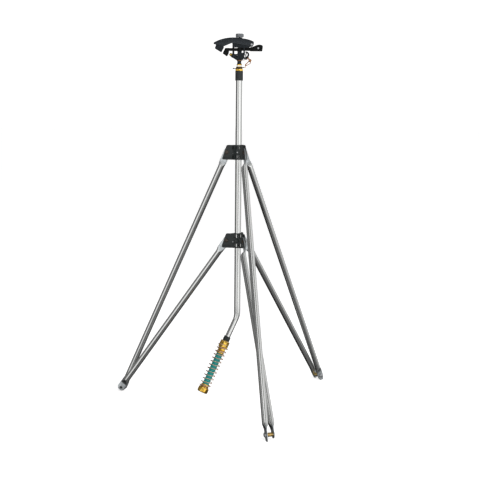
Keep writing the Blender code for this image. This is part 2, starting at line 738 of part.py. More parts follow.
def make_trip_ring(name, bottom, azimuth, reach):
    """A spring ring with a wire tab. Its split lies opposite the tab."""
    inner = SLEEVE_R + GAP
    profile = ring_profile(inner + RING_WALL, inner, bottom, bottom + RING_T)
    thing = turned_object(name, profile, "steel", TOP, closed=True)
    direction = Vector((cos(azimuth), sin(azimuth), 0))
    height = Vector((0, 0, bottom + RING_T / 2))
    tab = rod_mesh(f"{name}_tab", direction * (inner + RING_WALL / 2) + height, direction * reach + height,
                   TAB_WIRE_R, 10)
    slit = box_mesh(f"{name}_slit", (-inner - RING_WALL * 2, -0.0006, bottom - RING_T),
                    (-inner + RING_WALL, 0.0006, bottom + 2 * RING_T))
    slit.transform(Matrix.Rotation(azimuth, 4, "Z"))
    join_and_cut(thing, joined=[tab], cut=[slit])


def make_bearing():
    """Hollow stem, washers and the spring that pulls the head down on its seal."""
    flange_top = STEM_BOTTOM_Z + 0.0020
    bore = STEM_R - STEM_WALL
    profile = [
        (STEM_R, STEM_TOP_Z), (STEM_R, flange_top), (STEM_FLANGE_R, flange_top), (STEM_FLANGE_R, STEM_BOTTOM_Z),
        (bore, STEM_BOTTOM_Z), (bore, STEM_TOP_Z),
    ]
    turned_object("bearing_stem", profile, "brass", TOP, closed=True)
    seal_bottom = flange_top + GAP
    seal_top = PIPE_END_Z + 2 * GAP
    turned_object("seal_washer", ring_profile(STEM_FLANGE_R, STEM_R + GAP, seal_bottom, seal_top), "rubber", TOP,
                  closed=True)
    low = SLEEVE_TOP_Z + GAP
    for name, finish, bottom in (("thrust_washer", "nylon", low), ("brass_washer", "brass", low + WASHER_T + GAP)):
        turned_object(name, ring_profile(WASHER_R, STEM_R + GAP, bottom, bottom + WASHER_T), finish, TOP,
                      closed=True)
    mean = (SPRING_CHAMBER_R + STEM_R) / 2
    wire = 0.00045
    turns = 5
    per_turn = 10
    count = turns * per_turn
    start = seal_top + GAP + wire
    rise = (SPRING_CHAMBER_TOP_Z - GAP - wire - start) / count
    angles = [2 * pi * k / per_turn for k in range(count + 1)]
    points = [(mean * cos(a), mean * sin(a), start + rise * k) for k, a in enumerate(angles)]
    add_object("bearing_spring", wire_mesh("bearing_spring", points, wire, 0), "steel", TOP)


# ---------------------------------------------------------------- head
JET = Vector((-cos(JET_TILT), 0, sin(JET_TILT)))


def jet_point(x):
    """The point on the jet's axis at a given x."""
    return Vector((x, 0, BARREL_AXIS_Z - (x - BARREL_AXIS_X) * tan(JET_TILT)))


def hood_z(x, drop=0.0):
    """Height of the hood's arched top, or of an arc that lies lower by drop."""
    radius = HOOD_RADIUS - drop
    return HOOD_APEX_Z - HOOD_RADIUS + sqrt(radius * radius - (x - HOOD_APEX_X) ** 2)


def hood_arc(start, end, drop, count):
    """Points along the hood's arch."""
    return [(x, hood_z(x, drop)) for x in np.linspace(start, end, count)]


def make_body():
    """Neck, column and barrel in one casting with the bridge over the arm."""
    left = -0.0205
    right = 0.0310
    crown = hood_arc(left, HINGE_X - 0.008, HOOD_T + 0.0012, 9)
    bridge = crown + [(HINGE_X, HINGE_Z + LUG_R - 0.001), (HINGE_X, HINGE_Z - LUG_R), (right - 0.008, WINDOW_TOP_Z),
                      (left, WINDOW_TOP_Z)]
    thing = add_object("sprinkler_body", outline_mesh("bridge", [list(reversed(bridge))], BRIDGE_WIDTH), "head_black",
                       TOP)
    root = Vector((FULCRUM_X, 0, COLUMN_BOTTOM_Z + 0.0045))
    barrel_end = jet_point(BARREL_END_X)
    post_low = WINDOW_BOTTOM_Z - 0.008
    joined = [
        box_mesh("front_post", (left, POST_Y - POST_T / 2, post_low),
                 (left + 0.0060, POST_Y + POST_T / 2, WINDOW_TOP_Z + 0.002)),
        box_mesh("rear_post", (0.0115, -POST_Y - POST_T / 2, post_low),
                 (0.0165, -POST_Y + POST_T / 2, WINDOW_TOP_Z + 0.002)),
        box_mesh("column", (-0.0060, -BRIDGE_WIDTH / 2, COLUMN_BOTTOM_Z), (0.0150, BRIDGE_WIDTH / 2, WINDOW_BOTTOM_Z)),
        box_mesh("sill", (left, POST_Y - POST_T / 2, post_low), (-0.0050, POST_Y + POST_T / 2, post_low + 0.0050)),
        rod_mesh("neck", (0, 0, NECK_BOTTOM_Z), (0, 0, COLUMN_BOTTOM_Z + 0.001), NECK_R, 24),
        rod_mesh("barrel", root, barrel_end, BARREL_R, 24),
        box_mesh("trip_boss", (0.0140, -0.0035, TRIP_AXLE_Z - 0.0035), (0.0180, 0.0035, TRIP_AXLE_Z + 0.0035)),
    ]
    nose = jet_point(BARREL_END_X - 0.004)
    half_lug = LUG_WIDTH / 2
    cheek_x = HINGE_X - LUG_R - 0.0012
    bore_start = Vector((0, 0, NECK_BOTTOM_Z - 0.001))
    meeting = Vector((0, 0, jet_point(0.0).z))
    cuts = [
        rod_mesh("spring_pocket", (FULCRUM_X, 0, WINDOW_TOP_Z - 0.002), (FULCRUM_X, 0, SPRING_POCKET_TOP_Z),
                 SPRING_POCKET_R, 28),
        rod_mesh("pin_bore", (FULCRUM_X, 0, FULCRUM_PIN_BOTTOM_Z - GAP), (FULCRUM_X, 0, HOOD_APEX_Z),
                 FULCRUM_PIN_R + GAP, 20),
        rod_mesh("stem_socket", bore_start, (0, 0, STEM_TOP_Z + GAP), STEM_R + GAP, 24),
        rod_mesh("riser_passage", (0, 0, STEM_TOP_Z - 0.001), meeting + Vector((0, 0, 0.0015)), BARREL_BORE_R, 20),
        rod_mesh("barrel_passage", meeting, nose, BARREL_BORE_R + 0.0002, 20),
        rod_mesh("hinge_bore", (HINGE_X, -0.02, HINGE_Z), (HINGE_X, 0.02, HINGE_Z), HINGE_PIN_R + GAP, 16),
        box_mesh("lug_side_a", (cheek_x, half_lug, HINGE_Z - 0.02), (HOOD_END_X + 0.01, 0.02, HINGE_Z + 0.02)),
        box_mesh("lug_side_b", (cheek_x, -0.02, HINGE_Z - 0.02), (HOOD_END_X + 0.01, -half_lug, HINGE_Z + 0.02)),
        rod_mesh("axle_bore", (0.0152, 0, TRIP_AXLE_Z), (0.0200, 0, TRIP_AXLE_Z), TRIP_AXLE_R + GAP, 12),
    ]
    lug = rod_mesh("hinge_lug", (HINGE_X, -half_lug, HINGE_Z), (HINGE_X, half_lug, HINGE_Z), LUG_R, 20)
    join_and_cut(thing, joined + [lug], cuts)


def make_nozzle():
    """Brass nozzle pushed into the barrel's end."""
    start = jet_point(BARREL_END_X + 0.004)
    frame = make_frame("nozzle_axis", start, TOP, JET.to_track_quat("Z", "Y").to_matrix())
    seat = (start - jet_point(BARREL_END_X)).length
    tip = seat + NOZZLE_LENGTH
    profile = [
        (NOZZLE_R - 0.0012, tip), (NOZZLE_R, tip - 0.0020), (NOZZLE_R, seat + GAP),
        (BARREL_BORE_R - 0.0001, seat + GAP), (BARREL_BORE_R - 0.0001, 0.0),
        (NOZZLE_BORE_R + 0.0006, 0.0), (NOZZLE_BORE_R, tip),
    ]
    turned_object("nozzle", profile, "brass", frame, closed=True, steps=20)


def make_arm():
    """Impact arm: hub, bar, vane in the jet and counterweight. Origin on the fulcrum."""
    origin = Vector((FULCRUM_X, 0, ARM_BAR_BOTTOM_Z))
    half = ARM_BAR_WIDTH / 2
    bar = box_mesh("impact_arm", (-0.0419, -half, ARM_BAR_BOTTOM_Z), (0.0340, half, ARM_BAR_TOP_Z))
    vane = outline_mesh(
        "vane", [[(-0.0477, 1.0455), (-0.0356, 1.0364), (-0.0305, 1.0505), (-0.0305, ARM_BAR_TOP_Z),
                  (-0.0413, ARM_BAR_TOP_Z)]], SPOON_WIDTH)
    weight = outline_mesh(
        "counterweight", [[(0.0315, 1.0519), (0.0684, 1.0519), (0.0684, 1.0680), (0.0655, 1.0705), (0.0510, 1.0708),
                           (0.0455, 1.0655), (0.0315, 1.0645)]], WEIGHT_WIDTH)
    dish = rod_mesh("dish", (0.0550, -0.02, 1.0605), (0.0550, 0.02, 1.0605), 0.0028, 16)
    hub = rod_mesh("arm_hub", (FULCRUM_X, 0, ARM_BAR_BOTTOM_Z - 0.0035), (FULCRUM_X, 0, ARM_BAR_TOP_Z + 0.0008),
                   ARM_HUB_R, 28)
    bore = rod_mesh("arm_bore", (FULCRUM_X, 0, ARM_BAR_BOTTOM_Z - 0.01), (FULCRUM_X, 0, ARM_BAR_TOP_Z + 0.01),
                    FULCRUM_PIN_R + GAP, 20)
    shifted = [about(mesh, origin) for mesh in (bar, vane, weight, hub, bore, dish)]
    thing = add_object("impact_arm", shifted[0], "head_black", TOP, origin)
    join_and_cut(thing, shifted[1:4], shifted[4:])


def make_arm_spring():
    """Torsion spring in the bridge's pocket, over the arm's hub."""
    mean = (FULCRUM_PIN_R + SPRING_POCKET_R) / 2 + 0.0006
    wire = 0.0005
    start = ARM_BAR_TOP_Z + 0.0008 + GAP + wire
    end = SPRING_POCKET_TOP_Z - GAP - wire
    per_turn = 10
    count = 5 * per_turn
    rise = (end - start) / count
    angles = [2 * pi * k / per_turn for k in range(count + 1)]
    points = [(FULCRUM_X + mean * cos(a), mean * sin(a), start + rise * k) for k, a in enumerate(angles)]
    add_object("arm_spring", wire_mesh("arm_spring", points, wire, 0), "copper_wire", TOP)


def make_fulcrum_pin():
    """Steel pin that the arm turns on."""
    add_object("fulcrum_pin", rod_mesh("fulcrum_pin", (FULCRUM_X, 0, FULCRUM_PIN_BOTTOM_Z),
                                       (FULCRUM_X, 0, FULCRUM_PIN_TOP_Z), FULCRUM_PIN_R, 20), "steel", TOP)


def make_deflector():
    """Arched hood hinged at the back, with the deflector block over the jet."""
    origin = Vector((HINGE_X, 0, HINGE_Z))
    top = hood_arc(HOOD_TIP_X, HOOD_END_X, 0.0, 17)
    cheek = HINGE_Z - 0.0037
    side = top + [(HOOD_END_X, HINGE_Z + 0.0015), (HINGE_X + 0.0030, cheek), (HINGE_X - 0.0080, cheek)]
    side += [(-0.0234, 1.0752), (-0.0478, 1.0650), (-0.0620, 1.0690), (-0.0735, 1.0738)]
    shell = outline_mesh("deflector_hood", [list(reversed(side))], HOOD_WIDTH)
    inside = hood_arc(-0.0640, HOOD_END_X - HOOD_T, HOOD_T, 15)
    inside += [(HOOD_END_X - HOOD_T, HINGE_Z - 0.02), (-0.0640, HINGE_Z - 0.02)]
    hollow = outline_mesh("hood_hollow", [list(reversed(inside))], HOOD_WIDTH - 2 * HOOD_T)
    block = outline_mesh(
        "deflector_block", [[(-0.0711, 1.0591), (-0.0535, 1.0483), (-0.0478, 1.0621), (-0.0500, 1.0720),
                             (-0.0662, 1.0750)]], HOOD_WIDTH - 0.004)
    stud = rod_mesh("stud_hole", (FULCRUM_X, 0, HOOD_APEX_Z - 0.01), (FULCRUM_X, 0, HOOD_APEX_Z + 0.01),
                    KNOB_STUD_R + GAP, 16)
    hinge = rod_mesh("hood_hinge", (HINGE_X, -0.02, HINGE_Z), (HINGE_X, 0.02, HINGE_Z), HINGE_PIN_R + GAP, 16)
    thing = add_object("deflector_hood", about(shell, origin), "head_black", TOP, origin)
    boolean(thing, add_object("hood_hollow", about(hollow, origin), None, TOP, origin), "DIFFERENCE")
    join_and_cut(thing, [about(block, origin)], [about(stud, origin), about(hinge, origin)])


def make_hinge_pin():
    """Pin of the deflector hood's hinge, through both cheeks and the lug."""
    half = HOOD_WIDTH / 2 + 0.0010
    add_object("deflector_pin", rod_mesh("deflector_pin", (HINGE_X, -half, HINGE_Z), (HINGE_X, half, HINGE_Z),
                                         HINGE_PIN_R, 16), "steel", TOP)


def make_knob():
    """Cap screw that sets how far the hood is lifted. Origin on its own axis."""
    rim = KNOB_R - 0.0010
    profile = [
        (0.0, KNOB_TOP_Z), (rim, KNOB_TOP_Z), (KNOB_R, KNOB_TOP_Z - 0.0010), (KNOB_R, KNOB_BOTTOM_Z + 0.0006),
        (KNOB_R - 0.0006, KNOB_BOTTOM_Z), (KNOB_STUD_R, KNOB_BOTTOM_Z),
        (KNOB_STUD_R, FULCRUM_PIN_TOP_Z + GAP), (0.0, FULCRUM_PIN_TOP_Z + GAP),
    ]
    profile = [(r, z - KNOB_BOTTOM_Z) for r, z in profile]
    turned_object("lift_knob", profile, "steel", TOP, (FULCRUM_X, 0, KNOB_BOTTOM_Z), steps=24)


def make_trip():
    """Trip lever, its axle, its over-centre spring and the hanging trip wire."""
    origin = Vector((0, 0, TRIP_AXLE_Z))
    axle = rod_mesh("trip_axle", (0.0155, 0, TRIP_AXLE_Z), (TRIP_AXLE_END_X, 0, TRIP_AXLE_Z), TRIP_AXLE_R, 12)
    add_object("trip_axle", axle, "steel", TOP)
    path = [(0.0202, 0, 1.0330), (0.0205, 0, 1.0370), (0.0240, 0, 1.0402), (0.0258, 0, 1.0436), (0.0248, 0, 1.0472),
            (0.0215, 0, 1.0500)]
    lever = about(wire_mesh("trip_lever", path, 0.0021, 1), origin)
    hub = about(rod_mesh("lever_hub", (0.0184, 0, TRIP_AXLE_Z), (0.0222, 0, TRIP_AXLE_Z), 0.0042, 20), origin)
    bore = about(rod_mesh("lever_bore", (0.0175, 0, TRIP_AXLE_Z), (0.0230, 0, TRIP_AXLE_Z),
                                      TRIP_AXLE_R + GAP, 12), origin)
    thing = add_object("trip_lever", hub, "head_black", TOP, origin)
    join_and_cut(thing, [lever], [bore])
    loop = [(0.0268, 0, TRIP_AXLE_Z - EYE_R + 0.0004), (0.0290, 0, 1.0268), (0.0318, 0, 1.0245),
            (0.0330, 0, 1.0215), (0.0320, 0, 1.0180), (0.0285, 0, 1.0155), (0.0230, 0, 1.0120),
            (0.0190, 0, 1.0095), (0.0180, 0, 1.0045)]
    wire = about(wire_mesh("trip_wire", loop, TRIP_WIRE_R, 1), origin)
    eye = about(rod_mesh("wire_eye", (0.0258, 0, TRIP_AXLE_Z), (0.0278, 0, TRIP_AXLE_Z), EYE_R, 16), origin)
    eye_bore = about(rod_mesh("eye_bore", (0.0250, 0, TRIP_AXLE_Z), (0.0282, 0, TRIP_AXLE_Z),
                                      TRIP_AXLE_R + GAP, 12), origin)
    ring = add_object("trip_wire", eye, "copper_wire", TOP, origin)
    join_and_cut(ring, [wire], [eye_bore])
    radius = 0.0024
    gauge = 0.0004
    start = 0.0226 + GAP + gauge
    end = 0.0258 - GAP - gauge
    per_turn = 8
    count = 2 * per_turn
    rise = (end - start) / count
    angles = [2 * pi * k / per_turn for k in range(count + 1)]
    coil = [(start + rise * k, radius * cos(a), TRIP_AXLE_Z + radius * sin(a)) for k, a in enumerate(angles)]
    add_object("trip_spring", wire_mesh("trip_spring", coil, gauge, 0), "copper_wire", TOP)


# ---------------------------------------------------------------- inlet and leader hose
def make_inlet():
    """Black ring on the tail's end and the brass male thread beyond it."""
    ring_top = -INLET_RING_LENGTH + 0.002
    ring_end = 0.002
    profile = [
        (TAIL_R + GAP, ring_top), (INLET_RING_R, ring_top), (INLET_RING_R, ring_end), (THREAD_R - 0.0025, ring_end),
        (THREAD_R - 0.0025, GAP), (TAIL_R + GAP, GAP),
    ]
    turned_object("inlet_ring", list(reversed(profile)), "black_enamel", INLET, closed=True)
    start = ring_end + GAP
    spigot = TAIL_R - RISER_WALL - GAP
    thread = [
        (INLET_BORE_R, -0.010), (spigot, -0.010), (spigot, start), (THREAD_R, start),
        (THREAD_R, start + THREAD_LENGTH), (INLET_BORE_R, start + THREAD_LENGTH),
    ]
    turned_object("inlet_thread", list(reversed(thread)), "brass", INLET, closed=True)
    return start


def make_leader(start):
    """Swivel nut, washer, stem, hose, guard spring and end fitting, down the inlet axis."""
    thread_end = start + THREAD_LENGTH
    washer_t = 0.0020
    shoulder = thread_end + washer_t + 2 * GAP
    nut_end = start + NUT_LENGTH
    neck_r = THREAD_R - 0.0010
    turned_object("hose_washer", list(reversed([
        (INLET_BORE_R, thread_end + GAP), (THREAD_R, thread_end + GAP),
        (THREAD_R, thread_end + GAP + washer_t), (INLET_BORE_R, thread_end + GAP + washer_t)])),
        "rubber", INLET, closed=True)
    flange_t = 0.0030
    nut = [
        (THREAD_R + GAP, start + GAP), (NUT_R - 0.0010, start + GAP), (NUT_R, start + 0.0012),
        (NUT_R, nut_end - 0.0020), (NUT_R - 0.0020, nut_end), (neck_r + GAP, nut_end),
        (neck_r + GAP, shoulder + flange_t + GAP), (THREAD_R + GAP, shoulder + flange_t + GAP),
    ]
    turned_object("swivel_nut", list(reversed(nut)), "brass", INLET, closed=True)
    ferrule_start = nut_end + GAP
    ferrule_end = ferrule_start + FERRULE_LENGTH
    barb = HOSE_R - HOSE_WALL - GAP
    hose_start = ferrule_end - HOSE_GRIP
    stem = [
        (INLET_BORE_R, shoulder), (THREAD_R, shoulder), (THREAD_R, shoulder + flange_t), (neck_r, shoulder + flange_t),
        (neck_r, ferrule_start), (FERRULE_R - 0.0008, ferrule_start), (FERRULE_R, ferrule_start + 0.0010),
        (FERRULE_R, ferrule_end), (HOSE_R + GAP, ferrule_end), (HOSE_R + GAP, hose_start - GAP),
        (barb, hose_start - GAP), (barb, ferrule_end + 0.002), (INLET_BORE_R, ferrule_end + 0.002),
    ]
    turned_object("hose_stem", list(reversed(stem)), "brass", INLET, closed=True)
    hose_end = hose_start + HOSE_LENGTH
    hose = turned_object("leader_hose", list(reversed([
        (HOSE_R - HOSE_WALL, hose_start), (HOSE_R, hose_start), (HOSE_R, hose_end), (HOSE_R - HOSE_WALL, hose_end)])),
        "teal_hose", INLET, closed=True)
    grip_start = hose_end - HOSE_GRIP
    shoulder_start = hose_end + GAP
    fitting_end = shoulder_start + END_FITTING_LENGTH
    end_fitting = [
        (barb, grip_start - 0.002), (barb, shoulder_start), (HOSE_R + GAP, shoulder_start), (HOSE_R + GAP, grip_start),
        (FERRULE_R, grip_start), (FERRULE_R, shoulder_start), (END_FITTING_R - 0.0030, shoulder_start),
        (END_FITTING_R, shoulder_start + 0.0030), (END_FITTING_R, fitting_end - 0.0045),
        (END_FITTING_R - 0.0030, fitting_end - 0.0005), (END_FITTING_R - 0.0042, fitting_end),
        (INLET_BORE_R, fitting_end), (INLET_BORE_R, grip_start - 0.002),
    ]
    turned_object("end_fitting", list(reversed(end_fitting)), "brass", INLET, closed=True)
    guard_start = start + GUARD_START
    guard_end = shoulder_start - GUARD_WIRE_R - GAP
    per_turn = 14
    count = int(GUARD_TURNS * per_turn)
    coil = []
    for k in range(count + 1):
        angle = 2 * pi * k / per_turn
        coil.append((GUARD_R * cos(angle), GUARD_R * sin(angle), guard_start + (guard_end - guard_start) * k / count))
    add_object("guard_spring", wire_mesh("guard_spring", coil, GUARD_WIRE_R, 1), "copper_wire", INLET)


def build():
    """Make every piece of the sprinkler."""
    make_riser()
    make_upper_hub()
    make_lower_hub()
    make_hub_rivets("upper", UPPER_HUB_Z)
    make_hub_rivets("lower", LOWER_HUB_Z)
    make_legs()
    make_feet()
    make_collar()
    make_bearing_nut()
    make_trip_ring("trip_ring_lower", HEX_TOP_Z + GAP, pi, LOWER_TAB_R)
    make_trip_ring("trip_ring_upper", HEX_TOP_Z + 2 * GAP + RING_T, 0.0, UPPER_TAB_R)
    make_bearing()
    make_body()
    make_nozzle()
    make_arm()
    make_arm_spring()
    make_fulcrum_pin()
    make_deflector()
    make_hinge_pin()
    make_knob()
    make_trip()
    make_leader(make_inlet())


build()
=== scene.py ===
"""Looks of a tripod impact sprinkler: tubes, hubs, head, inlet and leader hose.

Every length is in metres in the CAD's frame. Surfaces are worked out as numpy
arrays, and each one keeps its unbent coordinates and a rim weight as mesh
attributes, which the finishes read.
"""
from __future__ import annotations

import json
import logging
import math
from dataclasses import dataclass, field
from enum import Enum
from typing import Any, Callable, Sequence

import bmesh
import bpy
import numpy as np
from mathutils import Matrix, Vector
from mathutils.geometry import tessellate_polygon

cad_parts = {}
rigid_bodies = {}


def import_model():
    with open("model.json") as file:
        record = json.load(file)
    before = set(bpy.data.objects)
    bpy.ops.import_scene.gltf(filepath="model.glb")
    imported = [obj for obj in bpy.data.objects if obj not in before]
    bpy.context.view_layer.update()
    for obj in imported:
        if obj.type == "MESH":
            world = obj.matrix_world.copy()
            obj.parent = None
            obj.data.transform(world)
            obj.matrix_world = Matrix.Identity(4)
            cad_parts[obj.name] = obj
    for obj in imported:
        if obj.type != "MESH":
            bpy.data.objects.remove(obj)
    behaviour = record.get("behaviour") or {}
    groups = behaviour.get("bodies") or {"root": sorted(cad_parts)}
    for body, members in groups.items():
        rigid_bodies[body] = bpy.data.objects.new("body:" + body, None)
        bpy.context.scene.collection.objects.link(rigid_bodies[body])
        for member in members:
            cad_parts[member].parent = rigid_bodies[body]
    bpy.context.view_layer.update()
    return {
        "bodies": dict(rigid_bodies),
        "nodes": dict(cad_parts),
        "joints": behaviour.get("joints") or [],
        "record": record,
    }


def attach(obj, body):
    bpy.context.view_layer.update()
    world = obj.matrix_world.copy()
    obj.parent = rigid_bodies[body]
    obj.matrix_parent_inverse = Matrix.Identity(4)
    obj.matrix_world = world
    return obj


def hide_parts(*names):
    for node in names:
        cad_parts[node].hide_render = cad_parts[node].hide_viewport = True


LOG = logging.getLogger("sprinkler")
Array = np.ndarray
Colour = tuple[float, float, float]
GAP = 0.0003
FLATS_OVER_CORNERS = 0.866
LEGS = ("left", "front", "right")


# ---------------------------------------------------------------- shader maths
class Wire:
    """A shader socket that takes part in Python arithmetic."""

    def __init__(self, graph: Graph, socket: bpy.types.NodeSocket) -> None:
        """Keep the graph and the output socket."""
        self.graph = graph
        self.socket = socket

    def _maths(self, operation: str, *terms: Wire | float) -> Wire:
        """Add one Math node over the terms, in their order."""
        return self.graph.node("ShaderNodeMath", {"operation": operation}, dict(enumerate(terms)))

    def __add__(self, other: Wire | float) -> Wire:
        """Sum of this and the other."""
        return self._maths("ADD", self, other)

    def __radd__(self, other: float) -> Wire:
        """Sum, for a number on the left."""
        return self._maths("ADD", other, self)

    def __sub__(self, other: Wire | float) -> Wire:
        """This less the other."""
        return self._maths("SUBTRACT", self, other)

    def __rsub__(self, other: float) -> Wire:
        """A number less this."""
        return self._maths("SUBTRACT", other, self)

    def __mul__(self, other: Wire | float) -> Wire:
        """Product of this and the other."""
        return self._maths("MULTIPLY", self, other)

    def __rmul__(self, other: float) -> Wire:
        """Product, for a number on the left."""
        return self._maths("MULTIPLY", other, self)

    def __truediv__(self, other: Wire | float) -> Wire:
        """This divided by the other."""
        return self._maths("DIVIDE", self, other)

    def between(self, low: float, high: float) -> Wire:
        """Smooth step: 0 below low, 1 above high."""
        inputs = {"Value": self, "From Min": low, "From Max": high}
        return self.graph.node("ShaderNodeMapRange", {"interpolation_type": "SMOOTHSTEP"}, inputs)


class Graph:
    """The node tree of one material or world."""

    def __init__(self, tree: bpy.types.NodeTree) -> None:
        """Start from an empty tree."""
        self.tree = tree
        tree.nodes.clear()

    def node(
            self, kind: str, settings: dict[str, Any] | None = None, inputs: dict[Any, Any] | None = None,
            output: Any = 0) -> Wire:
        """Add a node.

        Args:
            kind: Blender's node type.
            settings: attributes to set first; "stops" fills a colour ramp.
            inputs: value or Wire for each socket, by name or number.
            output: name or number of the socket to hand back.

        Returns:
            The chosen output as a Wire.
        """
        made = self.tree.nodes.new(kind)
        for key, value in (settings or {}).items():
            if key == "stops":
                self._fill_ramp(made.color_ramp, value)
            else:
                setattr(made, key, value)
        for key, value in (inputs or {}).items():
            socket = made.inputs[key]
            if isinstance(value, Wire):
                self.tree.links.new(value.socket, socket)
            elif isinstance(value, tuple) and len(value) == 3 and socket.type == "RGBA":
                socket.default_value = (*value, 1.0)
            else:
                socket.default_value = value
        return Wire(self, made.outputs[output]) if len(made.outputs) else Wire(self, None)

    @staticmethod
    def _fill_ramp(ramp: bpy.types.ColorRamp, stops: Sequence[tuple[float, float]]) -> None:
        """Set a grey ramp's stops, given as (place, level) pairs."""
        while len(ramp.elements) > 1:
            ramp.elements.remove(ramp.elements[-1])
        for number, (place, level) in enumerate(stops):
            stop = ramp.elements[0] if number == 0 else ramp.elements.new(place)
            stop.position = place
            stop.color = (level, level, level, 1.0)

    def mix(self, factor: Wire | float, first: Any, second: Any) -> Wire:
        """Blend two colours by a factor."""
        return self.node("ShaderNodeMix", {"data_type": "RGBA"}, {0: factor, 6: first, 7: second}, 2)

    def noise(self, place: Wire, scale: float, detail: float = 2.0, stretch: Colour = (1, 1, 1)) -> Wire:
        """Noise over stretched coordinates; stretch below 1 draws it out along that axis."""
        laid = self.node(
            "ShaderNodeMapping", None, {"Vector": place, "Scale": tuple(float(s) for s in stretch)})
        return self.node("ShaderNodeTexNoise", None, {"Vector": laid, "Scale": scale, "Detail": detail})


class Coordinates(Enum):
    """Where a finish takes its pattern's coordinates from."""

    SURFACE = "surface"
    OBJECT = "object"


@dataclass(frozen=True)
class Finish:
    """A painted, plated or moulded surface.

    The colour drifts between two tints over blotches, fine grain and drawn
    lines disturb roughness and normal, and rims wear towards a third tint.
    """

    name: str
    colour: Colour
    tint: Colour
    roughness: float
    metallic: float = 0.0
    blotch_scale: float = 60.0
    blotch: float = 0.5
    grain_scale: float = 2500.0
    grain: float = 0.1
    drawn: float = 0.0
    rings: float = 0.0
    ring_pitch: float = 0.0004
    worn: Colour = (0.3, 0.3, 0.3)
    wear: float = 0.0
    end_colour: Colour | None = None
    coat: float = 0.0
    roughness_swing: float = 0.12
    relief: float = 0.35
    specular: float = 0.5

    def material(self, source: Coordinates = Coordinates.SURFACE) -> bpy.types.Material:
        """Return the material, made on its first use.

        Args:
            source: SURFACE for new pieces, OBJECT for carried-over CAD nodes.

        Returns:
            The node-based material.
        """
        label = self.name if source is Coordinates.SURFACE else f"{self.name}_plain"
        found = bpy.data.materials.get(label)
        if found is not None:
            return found
        made = bpy.data.materials.new(label)
        made.use_nodes = True
        graph = Graph(made.node_tree)
        if source is Coordinates.SURFACE:
            place = graph.node("ShaderNodeAttribute", {"attribute_name": "unbent"}, None, "Vector")
            rim = graph.node("ShaderNodeAttribute", {"attribute_name": "rim"}, None, "Fac")
            pressed = graph.node("ShaderNodeAttribute", {"attribute_name": "pressed"}, None, "Fac")
        else:
            place = graph.node("ShaderNodeTexCoord", None, None, "Object")
            rim = pressed = None
        self._dress(graph, place, rim, pressed)
        return made

    def _dress(self, graph: Graph, place: Wire, rim: Wire | None, pressed: Wire | None) -> None:
        """Build the nodes.

        Args:
            graph: the material's tree.
            place: pattern coordinates in metres.
            rim: weight that is 1 on rounded edges, or None.
            pressed: weight that is 1 on flattened tube ends, or None.
        """
        blotches = graph.noise(place, self.blotch_scale, 4.0)
        grain = graph.noise(place, self.grain_scale, 3.0)
        patch = blotches.between(0.36, 0.68)
        colour = graph.mix(patch * self.blotch, self.colour, self.tint)
        rough = blotches * self.roughness_swing + (self.roughness - self.roughness_swing / 2)
        height = grain * self.grain
        if self.drawn:
            lines = graph.noise(place, 420.0, 2.0, (1.0, 1.0, 0.010))
            colour = graph.mix(lines.between(0.38, 0.70) * self.drawn, colour, self.tint)
            rough = rough + (lines - 0.5) * (0.25 * self.drawn)
            height = height + lines * (0.25 * self.drawn)
        if self.rings:
            split = graph.node("ShaderNodeSeparateXYZ", None, {0: place}, "Z")
            wobble = graph.node(
                "ShaderNodeMath", {"operation": "SINE"}, {0: split * (2 * math.pi / self.ring_pitch)})
            height = height + wobble * self.rings
            rough = rough + wobble * (0.04 * self.rings)
        if self.end_colour is not None and pressed is not None:
            mottle = graph.noise(place, 260.0, 3.0)
            spots = graph.mix(
                mottle.between(0.38, 0.66), self.end_colour, tuple(c * 0.62 for c in self.end_colour))
            colour = graph.mix(pressed * 0.85, colour, spots)
            rough = rough + pressed * (mottle * 0.22)
            height = height + pressed * (mottle * 3.0)
        metal: Wire | float = self.metallic
        if self.wear and rim is not None:
            chips = graph.noise(place, 900.0, 4.0).between(0.44, 0.62)
            mask = rim * chips * self.wear
            colour = graph.mix(mask, colour, self.worn)
            if self.metallic < 0.5:
                metal = mask * 0.8
        bump = graph.node(
            "ShaderNodeBump", None, {"Strength": self.relief, "Distance": 0.0002, "Height": height})
        shader = graph.node("ShaderNodeBsdfPrincipled", None, {
            "Base Color": colour, "Roughness": rough, "Metallic": metal, "Normal": bump,
            "Specular IOR Level": self.specular, "Coat Weight": self.coat, "Coat Roughness": 0.12})
        graph.node("ShaderNodeOutputMaterial", None, {"Surface": shader})


ZINC = Finish(
    "zinc_tube", (0.64, 0.645, 0.635), (0.57, 0.58, 0.575), 0.19, 1.0, 24.0, 0.35, 900.0, 0.02, drawn=0.06,
    end_colour=(0.56, 0.60, 0.62), worn=(0.8, 0.8, 0.8), wear=0.2, roughness_swing=0.03, relief=0.03)
ENAMEL = Finish(
    "black_enamel", (0.0020, 0.0021, 0.0022), (0.0055, 0.0060, 0.0065), 0.36, 0.0, 120.0, 0.6, 2600.0, 0.30,
    worn=(0.26, 0.27, 0.28), wear=0.40, relief=0.20, specular=0.10)
CASTING = Finish(
    "black_casting", (0.0040, 0.0060, 0.0080), (0.010, 0.014, 0.018), 0.42, 0.0, 180.0, 0.7, 3000.0, 0.5,
    worn=(0.09, 0.10, 0.11), wear=0.55, coat=0.02, relief=0.25, specular=0.20)
ARM_CASTING = Finish(
    "deep_black_casting", (0.0022, 0.0026, 0.0028), (0.006, 0.007, 0.007), 0.45, 0.0, 180.0, 0.7, 3000.0, 0.5,
    worn=(0.07, 0.07, 0.07), wear=0.5, relief=0.25, specular=0.09)
BRASS = Finish(
    "turned_brass", (0.66, 0.44, 0.14), (0.36, 0.19, 0.05), 0.15, 1.0, 160.0, 0.6, 2600.0, 0.05, rings=0.30,
    worn=(0.98, 0.80, 0.42), wear=0.7, relief=0.2)
